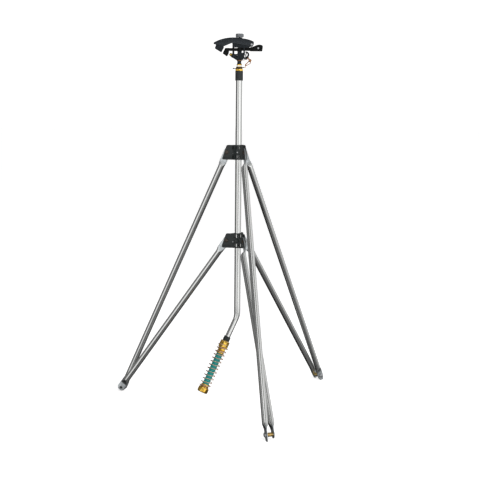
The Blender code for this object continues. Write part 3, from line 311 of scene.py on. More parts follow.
GOLD = Finish(
    "gold_brass", (0.86, 0.56, 0.10), (0.46, 0.22, 0.02), 0.13, 1.0, 120.0, 0.7, 2600.0, 0.05, rings=0.25,
    worn=(1.0, 0.86, 0.46), wear=0.8, relief=0.2)
DARK_BRASS = Finish(
    "shaded_brass", (0.34, 0.13, 0.05), (0.18, 0.05, 0.02), 0.26, 1.0, 160.0, 0.6, rings=0.2, worn=(0.7, 0.45,
    0.3), wear=0.5, relief=0.2)
COPPER = Finish(
    "copper_wire", (0.66, 0.38, 0.16), (0.40, 0.18, 0.06), 0.20, 1.0, 300.0, 0.6, 3000.0, 0.05,
    worn=(0.9, 0.65, 0.4), wear=0.4, relief=0.15)
# Painted highlight: the guard coil's copper, lightened towards cream so its turns look lit; only the pinkish
# copper hue is the wire's own.
HIGHLIT_COPPER_WIRE = Finish(
    "copper_wire_painted_highlight", (0.92, 0.68, 0.50), (0.66, 0.40, 0.28), 0.16, 1.0, 300.0, 0.6, 3000.0, 0.03, relief=0.1)
STEEL = Finish(
    "plated_steel", (0.50, 0.51, 0.52), (0.34, 0.36, 0.38), 0.30, 1.0, 220.0, 0.6, 2600.0, 0.15, rings=0.2,
    worn=(0.80, 0.80, 0.80), wear=0.5, relief=0.2)
SPRING_STEEL = Finish(
    "dark_spring_steel", (0.030, 0.024, 0.020), (0.07, 0.045, 0.03), 0.36, 0.6, 250.0, 0.6, worn=(0.35, 0.30,
    0.25), wear=0.4, relief=0.2)
CAP = Finish(
    "blued_cap", (0.17, 0.18, 0.19), (0.08, 0.09, 0.10), 0.34, 0.7, 200.0, 0.6, 2600.0, 0.3, worn=(0.55, 0.56,
    0.57), wear=0.8, relief=0.2)
NYLON = Finish("nylon", (0.72, 0.70, 0.64), (0.60, 0.56, 0.48), 0.48, 0.0, 200.0, 0.5, relief=0.2)
HOSE = Finish(
    "teal_hose", (0.0, 0.185, 0.168), (0.0, 0.115, 0.108), 0.24, 0.0, 90.0, 0.5, 2200.0, 0.20, drawn=0.10,
    coat=0.20, relief=0.15)
RUBBER = Finish("rubber", (0.016, 0.016, 0.016), (0.03, 0.03, 0.03), 0.62, 0.0, 150.0, 0.5, 2600.0, 0.5)


# ---------------------------------------------------------------- surfaces
@dataclass
class Surface:
    """Points, faces and the attributes that the finishes read."""

    points: Array
    faces: list[list[int]]
    unbent: Array
    rim: Array
    pressed: Array

    @classmethod
    def of(cls, points: Array, faces: list[list[int]], unbent: Array | None = None,
           rim: Array | None = None, pressed: Array | None = None) -> Surface:
        """Wrap points and faces, with unbent coordinates equal to the points by default."""
        points = np.asarray(points, float).reshape(-1, 3)
        count = len(points)
        own = points.copy() if unbent is None else np.asarray(unbent, float).reshape(-1, 3)
        return cls(
            points, faces, own, np.zeros(count) if rim is None else np.asarray(rim, float).reshape(-1),
            np.zeros(count) if pressed is None else np.asarray(pressed, float).reshape(-1))

    def placed(self, frame: Array) -> Surface:
        """The surface carried into a 4 by 4 frame; its unbent coordinates stay."""
        return Surface(
            self.points @ frame[:3, :3].T + frame[:3, 3], self.faces, self.unbent, self.rim, self.pressed)


def carried(parts: Sequence[Surface], frame: Array) -> list[Surface]:
    """Several surfaces carried into a frame."""
    return [part.placed(frame) for part in parts]


def unit(vector: Array) -> Array:
    """Vectors divided by their lengths."""
    vector = np.asarray(vector, float)
    return vector / np.maximum(np.linalg.norm(vector, axis=-1, keepdims=True), 1e-12)


def axis_frame(origin: Sequence[float], along: Sequence[float], hint: Sequence[float] = (0, 0, 1)) -> Array:
    """A frame whose Z runs along an axis.

    Args:
        origin: the frame's origin.
        along: direction of its Z.
        hint: the direction its Y leans to.

    Returns:
        A 4 by 4 array.
    """
    z = unit(along)
    x = np.cross(hint, z)
    x = unit(x) if np.linalg.norm(x) > 1e-6 else unit(np.cross((1.0, 0.0, 0.0), z))
    frame = np.eye(4)
    frame[:3, 0] = x
    frame[:3, 1] = np.cross(z, x)
    frame[:3, 2] = z
    frame[:3, 3] = origin
    return frame


def shift(x: float = 0.0, y: float = 0.0, z: float = 0.0) -> Array:
    """A frame that only moves."""
    frame = np.eye(4)
    frame[:3, 3] = (x, y, z)
    return frame


def swing(angle: float) -> Array:
    """A frame turned about Z."""
    frame = np.eye(4)
    frame[:2, :2] = [[math.cos(angle), -math.sin(angle)], [math.sin(angle), math.cos(angle)]]
    return frame


def grid_surface(
        points: Array, wrap_rows: bool = False, wrap_columns: bool = True, unbent: Array | None = None,
        rim: Array | None = None, pressed: Array | None = None) -> Surface:
    """Quads over a grid of points.

    Args:
        points: array of rows by columns by 3.
        wrap_rows: join the last row to the first.
        wrap_columns: join the last column to the first.
        unbent: unbent coordinates of the same shape.
        rim: rim weights, rows by columns.
        pressed: pressed weights, rows by columns.

    Returns:
        The surface, with both end rows capped where rows don't wrap.
    """
    rows, columns = points.shape[:2]
    index = np.arange(rows * columns).reshape(rows, columns)
    if wrap_rows:
        index = np.vstack([index, index[:1]])
    if wrap_columns:
        index = np.hstack([index, index[:, :1]])
    quads = np.stack([index[:-1, :-1], index[1:, :-1], index[1:, 1:], index[:-1, 1:]], -1).reshape(-1, 4)
    faces = quads.tolist()
    if wrap_columns and not wrap_rows:
        faces.append(index[0, :columns].tolist())
        faces.append(index[-1, :columns][::-1].tolist())
    return Surface.of(points, faces, unbent, rim, pressed)


def soften(outline: Array, radius: float | Array, steps: int = 4, closed: bool = True) -> tuple[Array, Array]:
    """Round a polyline's corners.

    Each corner becomes a quadratic curve from the point one radius before it
    to the point one radius after it, and no radius passes 0.45 of its side.

    Args:
        outline: the corners.
        radius: one radius, or one for each corner.
        steps: spans in each curve.
        closed: whether the last corner joins the first.

    Returns:
        The points, and weights that are 1 in the middle of each curve.
    """
    corner = np.asarray(outline, float)
    before = np.roll(corner, 1, 0) - corner
    after = np.roll(corner, -1, 0) - corner
    radius = np.broadcast_to(np.asarray(radius, float), len(corner))[:, None]
    reach_before = np.minimum(radius, 0.45 * np.linalg.norm(before, axis=1, keepdims=True))
    reach_after = np.minimum(radius, 0.45 * np.linalg.norm(after, axis=1, keepdims=True))
    start = (corner + unit(before) * reach_before)[:, None]
    end = (corner + unit(after) * reach_after)[:, None]
    t = np.linspace(0, 1, steps + 1)[None, :, None]
    curve = (1 - t) ** 2 * start + 2 * t * (1 - t) * corner[:, None] + t * t * end
    weight = np.broadcast_to((4 * t * (1 - t))[..., 0], curve.shape[:2])
    if closed:
        return curve.reshape(-1, corner.shape[1]), weight.reshape(-1)
    inner = curve[1:-1].reshape(-1, corner.shape[1])
    points = np.vstack([corner[:1], inner, corner[-1:]])
    return points, np.concatenate([[0.0], weight[1:-1].reshape(-1), [0.0]])


def marked(count: int, rows: Sequence[int], weight: float) -> Array:
    """Rim weights for a line's points: the weight on some rows and 0 on the others."""
    wear = np.zeros(count)
    wear[list(rows)] = weight
    return wear


def lathe(line: Array, wear: Array, segments: int, closed: bool,
          change: Callable[[Array, Array], Array] | None = None, rows: slice = slice(None)) -> Surface:
    """Turn a line of (radius, height) points round Z.

    A point at angle a is (r cos a, r sin a, z), with r the line's radius plus
    the change there.

    Args:
        line: the radius and height of each row.
        wear: the rim weight of each row.
        segments: columns round the axis.
        closed: whether the last row joins the first.
        change: change of radius as a function of angle and height.
        rows: the rows that the change is made on.

    Returns:
        The closed surface.
    """
    angle = np.linspace(0, 2 * np.pi, segments, endpoint=False)
    turn, height = np.meshgrid(angle, line[:, 1])
    radius = np.repeat(line[:, :1], segments, 1)
    if change is not None:
        radius[rows] += change(turn[rows], height[rows])
    points = np.stack([radius * np.cos(turn), radius * np.sin(turn), height], -1)
    return grid_surface(points, closed, True, rim=np.repeat(wear[:, None], segments, 1))


def revolve(profile: Sequence[tuple[float, float]], edge: float = 0.0005, segments: int = 64,
            closed: bool = False,
            ripple: Callable[[Array, Array], Array] | None = None, steps: int = 4) -> Surface:
    """Round a profile's corners and turn it round Z, as lathe does.

    Args:
        profile: (radius, height) corners.
        edge: rounding of the corners.
        segments: columns round the axis.
        closed: whether the profile is a closed ring.
        ripple: change of radius as a function of angle and height.
        steps: spans in each rounded corner.

    Returns:
        The closed surface.
    """
    line, weight = soften(np.array(profile), edge, steps, closed)
    return lathe(line, weight, segments, closed, ripple)


def sweep(path: Array, radius: float | Array, side: Array | Sequence[float], sides: int = 16,
          rounded: bool = True) -> Surface:
    """Carry a circle along a path.

    The circle at a point lies across the path's tangent, started from the
    part of the side vector that is square to it. Rounded ends add rows whose
    radius falls as a quarter circle.

    Args:
        path: points of the centre line.
        radius: one radius, or one for each point.
        side: a direction never along the path, or one for each point.
        sides: columns round the path.
        rounded: close the ends with domes.

    Returns:
        The surface, unbent to (r cos a, r sin a, length along the path).
    """
    path = np.asarray(path, float)
    radius = np.broadcast_to(np.asarray(radius, float), len(path)).copy()
    side = np.broadcast_to(np.asarray(side, float), path.shape)
    tangent = unit(np.gradient(path, axis=0))
    if rounded:
        bend = np.linspace(0, np.pi / 2, 5)[1:]
        head = path[0] - tangent[0] * (radius[0] * np.sin(bend[::-1]))[:, None]
        tail = path[-1] + tangent[-1] * (radius[-1] * np.sin(bend))[:, None]
        path = np.vstack([head, path, tail])
        tangent = np.vstack([np.repeat(tangent[:1], 4, 0), tangent, np.repeat(tangent[-1:], 4, 0)])
        side = np.vstack([np.repeat(side[:1], 4, 0), side, np.repeat(side[-1:], 4, 0)])
        radius = np.concatenate([radius[0] * np.cos(bend[::-1]), radius, radius[-1] * np.cos(bend)])
    first = unit(side - np.sum(side * tangent, 1, keepdims=True) * tangent)
    second = np.cross(tangent, first)
    angle = np.linspace(0, 2 * np.pi, sides, endpoint=False)
    ring = first[:, None] * np.cos(angle)[None, :, None] + second[:, None] * np.sin(angle)[None, :, None]
    points = path[:, None] + ring * radius[:, None, None]
    length = np.concatenate([[0.0], np.cumsum(np.linalg.norm(np.diff(path, axis=0), axis=1))])
    unbent = np.stack(
        [radius[:, None] * np.cos(angle), radius[:, None] * np.sin(angle), np.repeat(length[:, None], sides,
        1)], -1)
    return grid_surface(points, False, True, unbent)


def smooth_path(corners: Sequence[Sequence[float]], count: int = 60) -> Array:
    """A Catmull-Rom curve through corners.

    Each span is half of (2B + (C - A)t + (2A - 5B + 4C - D)t2 + (3B - A - 3C + D)t3).

    Args:
        corners: points the curve passes through.
        count: points of the result.

    Returns:
        The curve's points.
    """
    p = np.asarray(corners, float)
    p = np.vstack([2 * p[0] - p[1], p, 2 * p[-1] - p[-2]])
    place = np.linspace(0, len(p) - 3, count)
    span = np.minimum(place.astype(int), len(p) - 4)
    t = (place - span)[:, None]
    a, b, c, d = p[span], p[span + 1], p[span + 2], p[span + 3]
    curve = 2 * b + (c - a) * t + (2 * a - 5 * b + 4 * c - d) * t ** 2
    return 0.5 * (curve + (3 * b - a - 3 * c + d) * t ** 3)


def inset(loop: Array, distance: float) -> Array:
    """Move a loop's points into the material on its left by a mitred distance."""
    edge = unit(np.roll(loop, -1, 0) - loop)
    normal = np.stack([-edge[:, 1], edge[:, 0]], 1)
    before = np.roll(normal, 1, 0)
    spread = 1 + np.sum(before * normal, 1, keepdims=True)
    return loop + distance * (before + normal) / np.maximum(spread, 0.4)


def plate(loops: Sequence[Array], thickness: float, edge: float = 0.0004, steps: int = 3) -> Surface:
    """A flat plate in the XY plane with rounded edges and openings.

    Each loop carries an edge profile whose inset is edge(1 - sin a) and whose
    height is half the thickness less edge(1 - cos a), for a from 0 to 90
    degrees on both faces. The flats between the inset loops are triangles.

    Args:
        loops: the outline, then the openings.
        thickness: along Z, centred on 0.
        edge: rounding of the edges.
        steps: spans in each rounded edge.

    Returns:
        The closed surface.
    """
    def turned(loop: Array, wanted: float) -> Array:
        """The loop with its points in the wanted sense, +1 for anticlockwise."""
        x, y = loop[:, 0], loop[:, 1]
        area = np.sum(x * np.roll(y, -1) - np.roll(x, -1) * y)
        return loop if area * wanted > 0 else loop[::-1]

    loops = [turned(np.asarray(loop, float), 1.0 if n == 0 else -1.0) for n, loop in enumerate(loops)]
    bend = np.linspace(0, np.pi / 2, steps + 1)
    depth = np.concatenate([edge * (1 - np.sin(bend)), (edge * (1 - np.sin(bend)))[::-1]])
    height = thickness / 2 - edge * (1 - np.cos(bend))
    height = np.concatenate([height, -height[::-1]])
    weight = np.concatenate([np.sin(2 * bend), np.sin(2 * bend)[::-1]])
    points, faces, rims, start = [], [], [], 0
    for loop in loops:
        rows = np.stack(
            [np.column_stack([inset(loop, d), np.full(len(loop), h)]) for d, h in zip(depth, height)])
        part = grid_surface(rows, False, True)
        faces += (np.array(part.faces[:-2]) + start).tolist()
        points.append(part.points)
        rims.append(np.repeat(weight, len(loop)))
        start += len(part.points)
    flat = [inset(loop, edge) for loop in loops]
    triangles = np.array(tessellate_polygon([[Vector((*p, 0.0)) for p in loop] for loop in flat]))
    corners = np.vstack(flat)
    for level in (thickness / 2, -thickness / 2):
        points.append(np.column_stack([corners, np.full(len(corners), level)]))
        rims.append(np.zeros(len(corners)))
        faces += (triangles + start).tolist()
        start += len(corners)
    return Surface.of(np.vstack(points), faces, rim=np.concatenate(rims))


def upright(surface: Surface) -> Surface:
    """A plate drawn in XY, stood up in XZ with its thickness along Y."""
    frame = np.array([[1, 0, 0, 0], [0, 0, -1, 0], [0, 1, 0, 0], [0, 0, 0, 1]], float)
    stood = surface.placed(frame)
    return Surface(stood.points, stood.faces, stood.points.copy(), stood.rim, stood.pressed)


def slab(outline: Array, rounding: float | Array, width: float, edge: float, corner_steps: int = 4,
         edge_steps: int = 3) -> Surface:
    """An upright plate cut to a side outline.

    Args:
        outline: its corners in x and z.
        rounding: how far the corners are rounded, one or one for each.
        width: along Y.
        edge: rounding of the edges.
        corner_steps: spans in a rounded corner.
        edge_steps: spans in a rounded edge.

    Returns:
        The closed surface.
    """
    return upright(plate([soften(outline, rounding, corner_steps)[0]], width, edge, edge_steps))


def block(low: Sequence[float], high: Sequence[float], edge: float = 0.0006) -> Surface:
    """A box with rounded edges, as a plate whose outline is a softened rectangle."""
    low, high = np.array(low, float), np.array(high, float)
    size, middle = (high - low) / 2, (high + low) / 2
    corners = np.array([(-1, -1), (1, -1), (1, 1), (-1, 1)]) * size[:2]
    outline, _ = soften(corners, edge, 4)
    return plate([outline], 2 * size[2], edge * 0.9).placed(shift(*middle))


def circle(centre: Sequence[float], radius: float, count: int = 32) -> Array:
    """Points round a circle in the plane."""
    angle = np.linspace(0, 2 * np.pi, count, endpoint=False)
    return np.column_stack([centre[0] + radius * np.cos(angle), centre[1] + radius * np.sin(angle)])


def helix(radius: float, start: float, end: float, turns: float, per_turn: int = 40, phase: float = 0.0,
          closed_ends: float = 0.0) -> tuple[Array, Array]:
    """A coil round Z: (R cos a, R sin a, z), with z rising evenly between flat end turns.

    Args:
        radius: the coil's mean radius.
        start: first height.
        end: last height.
        turns: number of turns.
        per_turn: points in a turn.
        phase: the first angle.
        closed_ends: turns at each end that hardly rise.

    Returns:
        The points, and the outward direction at each.
    """
    share = np.linspace(0, 1, int(turns * per_turn) + 1)
    angle = phase + 2 * np.pi * turns * share
    edge = closed_ends / turns
    rise = np.clip((share - edge) / max(1e-9, 1 - 2 * edge), 0, 1)
    rise = 0.94 * rise + 0.06 * share if closed_ends else share
    outward = np.column_stack([np.cos(angle), np.sin(angle), np.zeros(len(angle))])
    return outward * radius + np.column_stack(
        [np.zeros((len(angle), 2)), start + (end - start) * rise]), outward


# ---------------------------------------------------------------- the builder of pieces
@dataclass
class Workshop:
    """Makes objects from surfaces and files them with the frame."""

    frame: dict[str, Any]
    made: list[str] = field(default_factory=list)

    def joint(self, name: str) -> dict[str, Any]:
        """The record's joint of that name."""
        return next(j for j in self.frame["record"]["behaviour"]["joints"] if j["name"] == name)

    @property
    def riser(self) -> Array:
        """The frame that stands on the ground on the riser's axis."""
        x, y, _ = self.joint("head_turn")["pos_m"]
        return shift(x, y, 0.0)

    def leg(self, name: str) -> Array:
        """A leg's frame: X outward, Y along its pivots, on the riser's axis at the ground.

        Args:
            name: left, front or right.

        Returns:
            A 4 by 4 array.
        """
        across = unit(self.joint(f"leg_fold_{name}")["axis"])
        frame = self.riser.copy()
        frame[:3, 0] = np.cross(across, (0, 0, 1))
        frame[:3, 1] = across
        return frame

    def piece(
            self, name: str, surfaces: Sequence[Surface] | Surface, finish: Finish, body: str,
            replaces: Sequence[str] = (), crease: float = 38.0) -> bpy.types.Object:
        """Join surfaces into one finished piece.

        Args:
            name: the piece's name.
            surfaces: its closed surfaces.
            finish: its finish.
            body: the CAD body it rides on.
            replaces: CAD nodes it stands for.
            crease: angle in degrees above which an edge is sharp.

        Returns:
            The object.
        """
        parts = [surfaces] if isinstance(surfaces, Surface) else list(surfaces)
        starts = np.cumsum([0] + [len(part.points) for part in parts])
        faces = [
            [int(k) + int(start) for k in face] for part, start in zip(parts, starts) for face in part.faces]
        mesh = bpy.data.meshes.new(name)
        mesh.from_pydata(np.vstack([part.points for part in parts]).tolist(), [], faces)
        for label, kind, key, values in (
                ("unbent", "FLOAT_VECTOR", "vector", np.vstack([part.unbent for part in parts])),
                ("rim", "FLOAT", "value", np.concatenate([part.rim for part in parts])), ("pressed", "FLOAT",
                "value", np.concatenate([part.pressed for part in parts]))):
            mesh.attributes.new(label, kind, "POINT").data.foreach_set(key, values.astype(np.float32).ravel())
        shape = bmesh.new()
        shape.from_mesh(mesh)
        bmesh.ops.remove_doubles(shape, verts=shape.verts, dist=1e-7)
        bmesh.ops.dissolve_degenerate(shape, dist=1e-8, edges=shape.edges)
        bmesh.ops.recalc_face_normals(shape, faces=shape.faces)
        shape.to_mesh(mesh)
        shape.free()
        mesh.polygons.foreach_set("use_smooth", np.ones(len(mesh.polygons), bool))
        mesh.set_sharp_from_angle(angle=math.radians(crease))
        mesh.materials.append(finish.material())
        made = bpy.data.objects.new(name, mesh)
        bpy.context.scene.collection.objects.link(made)
        if replaces:
            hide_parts(*replaces)
        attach(made, body)
        self.made.append(name)
        LOG.info("%s: %d faces, on %s", name, len(mesh.polygons), body)
        return made

    def dress_node(self, node: str, finish: Finish) -> None:
        """Give a carried-over CAD node its finish."""
        mesh = self.frame["nodes"][node].data
        mesh.materials.clear()
        mesh.materials.append(finish.material(Coordinates.OBJECT))


def hexagonal(
        half_flats: float, bottom: float, top: float, bore: float = 0.0, chamfer: float = 0.0009,
        segments: int = 96) -> Surface:
    """A hexagonal prism on Z with turned-off corners.

    At angle a the radius is the lesser of half_flats / cos(a') and the corner
    radius less 1.6 times how far the height lies inside the chamfer, where a'
    is the angle to the nearest flat's middle.

    Args:
        half_flats: half the width across the flats.
        bottom: first height.
        top: last height.
        bore: radius of a hole, or 0.
        chamfer: height of the turned part at each end.
        segments: columns round the axis.

    Returns:
        The closed surface.
    """
    height = np.concatenate(
        [[bottom], np.linspace(bottom, bottom + chamfer, 4), np.linspace(top - chamfer, top, 4), [top]])
    angle = np.linspace(0, 2 * np.pi, segments, endpoint=False)
    corner = half_flats / math.cos(math.pi / 6)
    away = np.mod(angle + math.pi / 6, math.pi / 3) - math.pi / 6
    inside = np.maximum(0.0, chamfer - np.minimum(height - bottom, top - height))
    radius = np.minimum(half_flats / np.cos(away)[None], (corner - 1.6 * inside)[:, None])
    radius[0] = radius[-1] = bore if bore else 0.0
    rim = np.zeros((len(height), segments))
    rim[[1, 2, 7, 8]] = 0.7
    points = np.stack(
        [radius * np.cos(angle), radius * np.sin(angle), np.repeat(height[:, None], segments, 1)], -1)
    if not bore:
        return grid_surface(points[1:-1], False, True, rim=rim[1:-1])
    return grid_surface(points, True, True, rim=rim)


# ---------------------------------------------------------------- tripod
@dataclass
class Riser:
    """The bent pipe that stands in the hubs and carries the head."""

    radius: float = 0.0095
    top: float = 0.9812
    bend_height: float = 0.2650
    bend_radius: float = 0.050
    tail_radius: float = 0.0080
    tail_tilt: float = math.radians(27.3)
    tail_azimuth: float = math.radians(206.0)
    tail_length: float = 0.0800

    @property
    def tail_direction(self) -> Array:
        """Unit vector down the tail."""
        tilt, turn = self.tail_tilt, self.tail_azimuth
        return np.array([math.sin(tilt) * math.cos(turn), math.sin(tilt) * math.sin(turn), -math.cos(tilt)])

    @property
    def tail_end(self) -> Array:
        """The pipe's lower end."""
        return np.array([0, 0, self.bend_height]) + self.tail_direction * self.tail_length

    def inlet(self, shop: Workshop) -> Array:
        """The frame at the pipe's lower end, with Z down the tail."""
        return shop.riser @ axis_frame(self.tail_end, self.tail_direction)

    def path(self) -> tuple[Array, Array]:
        """The centre line and its radii.

        Down the riser's axis, round an arc of the bend's radius, then down the
        tail. The radius narrows evenly along the arc.
        """
        reach = self.bend_radius * math.tan(self.tail_tilt / 2)
        outward = np.array([math.cos(self.tail_azimuth), math.sin(self.tail_azimuth), 0.0])
        centre = np.array([0, 0, self.bend_height + reach]) + outward * self.bend_radius
        angle = np.linspace(0, self.tail_tilt, 20)[:, None]
        down = np.array([0, 0, self.bend_radius])
        arc = centre - outward * self.bend_radius * np.cos(angle) - down * np.sin(angle)
        rise = np.linspace(self.top, self.bend_height + reach, 30)[:-1, None] * np.array([0, 0, 1.0])
        tail = arc[-1] + (self.tail_end - arc[-1]) * np.linspace(0, 1, 9)[1:, None]
        radius = np.concatenate(
            [np.full(len(rise), self.radius), np.linspace(self.radius, self.tail_radius, len(arc)),
            np.full(len(tail), self.tail_radius)])
        return np.vstack([rise, arc, tail]), radius

    def build(self, shop: Workshop) -> None:
        """Make the pipe."""
        line, radius = self.path()
        pipe = sweep(line, radius, (1, 0, 0), 56, rounded=False)
        shop.piece("riser_pipe", pipe.placed(shop.riser), ZINC, "stand", ["riser_tube"])


@dataclass
class HubPlates:
    """Three pressed plates round the riser, with sloped ears for the tubes."""

    name: str
    body: str
    height: float
    spans: tuple[tuple[tuple[float, float], bool], ...]
    margin: float
    ribs: bool
    riser_radius: float = 0.0095
    plate: float = 0.0030
    tall: float = 0.0435
    web: float = 0.0170
    ear_top: float = 0.0330
    ear_end: float = 0.0463
    pivot: float = 0.0325
    rivet_head: float = 0.0058
    rivet_height: float = 0.0026
    flat: float = 0.0032

    @property
    def offset(self) -> float:
        """A plate's middle from the riser's axis."""
        return self.riser_radius + GAP + self.plate / 2

    def outline(self) -> Array:
        """The plate's outline, softened corner by corner."""
        half = self.tall / 2
        tail = -(self.riser_radius + GAP) * math.tan(math.pi / 3) - 0.87 * self.plate
        corners = [
            (tail, half), (tail, -half), (self.ear_end, -half), (self.ear_end, -half + 0.006), (self.ear_top,
            half)]
        loop, _ = soften(np.array(corners), np.array([0.0006, 0.0006, 0.0066, 0.0035, 0.0045]), 6)
        return loop

    def build(self, shop: Workshop) -> None:
        """Make the plates, their welds and the rivets."""
        half = self.tall / 2
        loops = [self.outline()]
        for (left, right), above in self.spans:
            low, high = (self.web / 2, half - self.margin) if above else (self.margin - half, -self.web / 2)
            window = np.array([(left, low), (right, low), (right, high), (left, high)])
            loops.append(soften(window, min(0.0012, (right - left) * 0.45), 4)[0])
        flat = upright(plate(loops, self.plate, 0.0006))
        bead = self.bead()
        surfaces, rivets, studs = [], [], []
        dome = [
            (0.0, 0.0021), (0.0010, 0.0020), (0.0019, 0.0015), (0.0024, 0.0007), (0.0025, -0.0002),
            (0.0, -0.0002)]
        hub = shift(z=self.height)
        for name in LEGS:
            leg = shop.leg(name) @ hub
            surfaces.append(flat.placed(leg @ shift(y=self.offset)))
            surfaces.append(bead.placed(leg))
            stiffener = sweep(
                smooth_path([(0.0175, 0, -0.0145), (0.029, 0, -0.0155), (0.042, 0, -0.0160)], 24),
                np.full(24, 0.0011), (0, 1, 0), 12)
            surfaces.append(stiffener.placed(leg @ shift(y=self.offset + self.plate / 2 - 0.0003)))
            middle = self.offset - self.plate / 2 - GAP / 2 + (self.plate - self.flat) / 2
            rivets.append(self.rivet().placed(leg @ axis_frame((self.pivot, middle, 0), (0, 1, 0))))
            stud = revolve(dome[::-1], 0.0002, 32)
            studs.append(
                stud.placed(leg @ axis_frame((0.0112, self.offset + self.plate / 2, -0.0030), (0, 1, 0))))
            if self.ribs:
                low = (self.riser_radius + GAP, -0.002, -half)
                surfaces.append(block(low, (0.0200, 0.002, half), 0.0006).placed(leg @ swing(math.pi / 3)))
        shop.piece(f"{self.name}_plates", surfaces, ENAMEL, self.body, [self.name])
        prefix = self.name.split("_")[0]
        shop.piece(
            f"{prefix}_ear_rivets", rivets, SPRING_STEEL, self.body,
            [f"{prefix}_rivet_{leg}" for leg in LEGS])
        shop.piece(f"{prefix}_hub_studs", studs, STEEL, self.body)

    def bead(self) -> Surface:
        """A weld down a corner of the hub, its radius 1.3 mm and a tenth of that in ripples."""
        count = 60
        z = np.linspace(-self.tall / 2 + 0.002, self.tall / 2 - 0.002, count)
        corner = -(self.riser_radius + GAP) * math.tan(math.pi / 3) - 0.0004
        line = np.column_stack([np.full(count, corner - 0.0007), np.full(count, self.offset + 0.0002), z])
        return sweep(line, 0.0013 + 0.00013 * np.sin(z * 2600), (1, 0, 0), 12)

    def rivet(self) -> Surface:
        """A rivet on Z: a domed head, the shank and the formed head."""
        grip = (self.plate + self.flat + GAP) / 2 + GAP
        angle = np.linspace(0, np.pi / 2, 9)
        head = np.column_stack(
            [self.rivet_head * np.sin(angle), grip + self.rivet_height * (0.25 + 0.75 * np.cos(angle))])
        formed = head[::-1] * (0.9, -1.0)
        line = np.vstack(
            [head, [(self.rivet_head, grip), (0.0034, grip), (0.0034, -grip), (self.rivet_head * 0.9, -grip)],
            formed])
        return revolve([tuple(p) for p in line[::-1]], 0.0003, 40)


@dataclass
class LegTube:
    """A round tube with pressed ends, from a hub's ear to a foot."""

    name: str
    top_height: float
    top_axis: float
    toe: bool
    pivot: float = 0.0325
    foot_radius: float = 0.3735
    foot_height: float = 0.0155
    plate_side: float = 0.0079
    tube: float = 0.0090
    half_width: float = 0.0110
    foot_width: float = 0.0124
    flat: float = 0.0032
    top_flat: float = 0.028
    foot_flat: float = 0.013
    taper: float = 0.020
    beyond: float = 0.0035

    def surface(self, foot_side: float) -> Surface:
        """The tube's skin.

        A row is a superellipse |u/a|^p + |v/b|^p = 1 across the tube. Between
        the pressed ends p is 2 and a and b are the tube's radius; at the ends p
        is 4, a is the half width and b half the pressed thickness, and a smooth
        step over the taper goes from one to the other. An end is a half circle
        in plan. A toe narrows instead, and leans until it is level with the
        ground.

        Args:
            foot_side: the pressed foot end's middle beside the leg's plane.

        Returns:
            The surface in the leg's frame.
        """
        start = np.array([self.pivot, 0.0, self.top_height])
        run = np.array([self.foot_radius, 0.0, self.foot_height]) - start
        length = float(np.linalg.norm(run))
        along = run / length
        across = np.array([along[2], 0.0, -along[0]])
        bend = np.linspace(0.12, np.pi / 2, 9)
        end = self.half_width * np.cos(bend)
        step = np.linspace(0, 1, 14)
        rows = np.concatenate(
            [-self.beyond - end, np.linspace(-self.beyond, self.top_flat, 5)[1:],
            self.top_flat + self.taper * step[1:], np.linspace(self.top_flat + self.taper,
            length - self.foot_flat - self.taper, 26)[1:],
            length - self.foot_flat - self.taper * (1 - step[1:]), [length]])
        pinch = np.concatenate([np.sin(bend), np.ones(len(rows) - len(end))])
        if self.toe:
            more = np.linspace(0, 1, 9)[1:]
            rows = np.concatenate([rows, length + 0.018 * more])
            pinch = np.concatenate([pinch, 1 - 0.52 * more ** 1.9])
        else:
            rows = np.concatenate([rows, length + end[::-1][1:]])
            pinch = np.concatenate([pinch, np.sin(bend[::-1])[1:]])

        def smooth(value: Array) -> Array:
            """Smooth step from 0 to 1."""
            share = np.clip(value, 0, 1)
            return share * share * (3 - 2 * share)

        at_top = smooth((rows - self.top_flat) / self.taper)
        at_foot = smooth((length - self.foot_flat - rows) / self.taper)
        round_share = at_top * at_foot
        axis = self.top_axis + (foot_side - self.top_axis) * np.clip(rows / length, 0, 1)
        side = np.where(
            rows < length / 2, self.plate_side + (axis - self.plate_side) * at_top,
            foot_side + (axis - foot_side) * at_foot)
        pressed_width = np.where(rows < length / 2, self.half_width, self.foot_width)
        half_a = (pressed_width + (self.tube - pressed_width) * round_share) * pinch
        half_b = self.flat / 2 + (self.tube - self.flat / 2) * round_share
        power = (4 - 2 * round_share)[:, None]
        angle = np.linspace(0, 2 * np.pi, 48, endpoint=False)[None]
        c, s = np.cos(angle), np.sin(angle)
        u = half_a[:, None] * np.sign(c) * np.abs(c) ** (2 / power)
        v = half_b[:, None] * np.sign(s) * np.abs(s) ** (2 / power)
        distance = np.repeat(rows[:, None], 48, 1)
        if self.toe:
            ground = (start[2] + across[2] * u) / -along[2]
            lean = np.clip((rows - length) / 0.018, 0, 1)[:, None]
            distance = np.where(rows[:, None] > length, length + (ground - length) * lean, distance)
            distance = np.minimum(distance, ground)
        points = start + along * distance[..., None] + across * u[..., None]
        points[..., 1] += side[:, None] + v
        unbent = np.stack([u, v, distance], -1)
        pressed = np.repeat((1 - round_share)[:, None], 48, 1)
        rim = pressed * np.clip(np.abs(c) ** 6, 0, 1)
        return grid_surface(points, False, True, unbent, rim, pressed)

    def build(self, shop: Workshop, leg: str, foot_side: float) -> None:
        """Make one tube."""
        node = f"{self.name}_{leg}"
        placed = self.surface(foot_side).placed(shop.leg(leg))
        shop.piece(f"{node}_tube", placed, ZINC, node, [node])


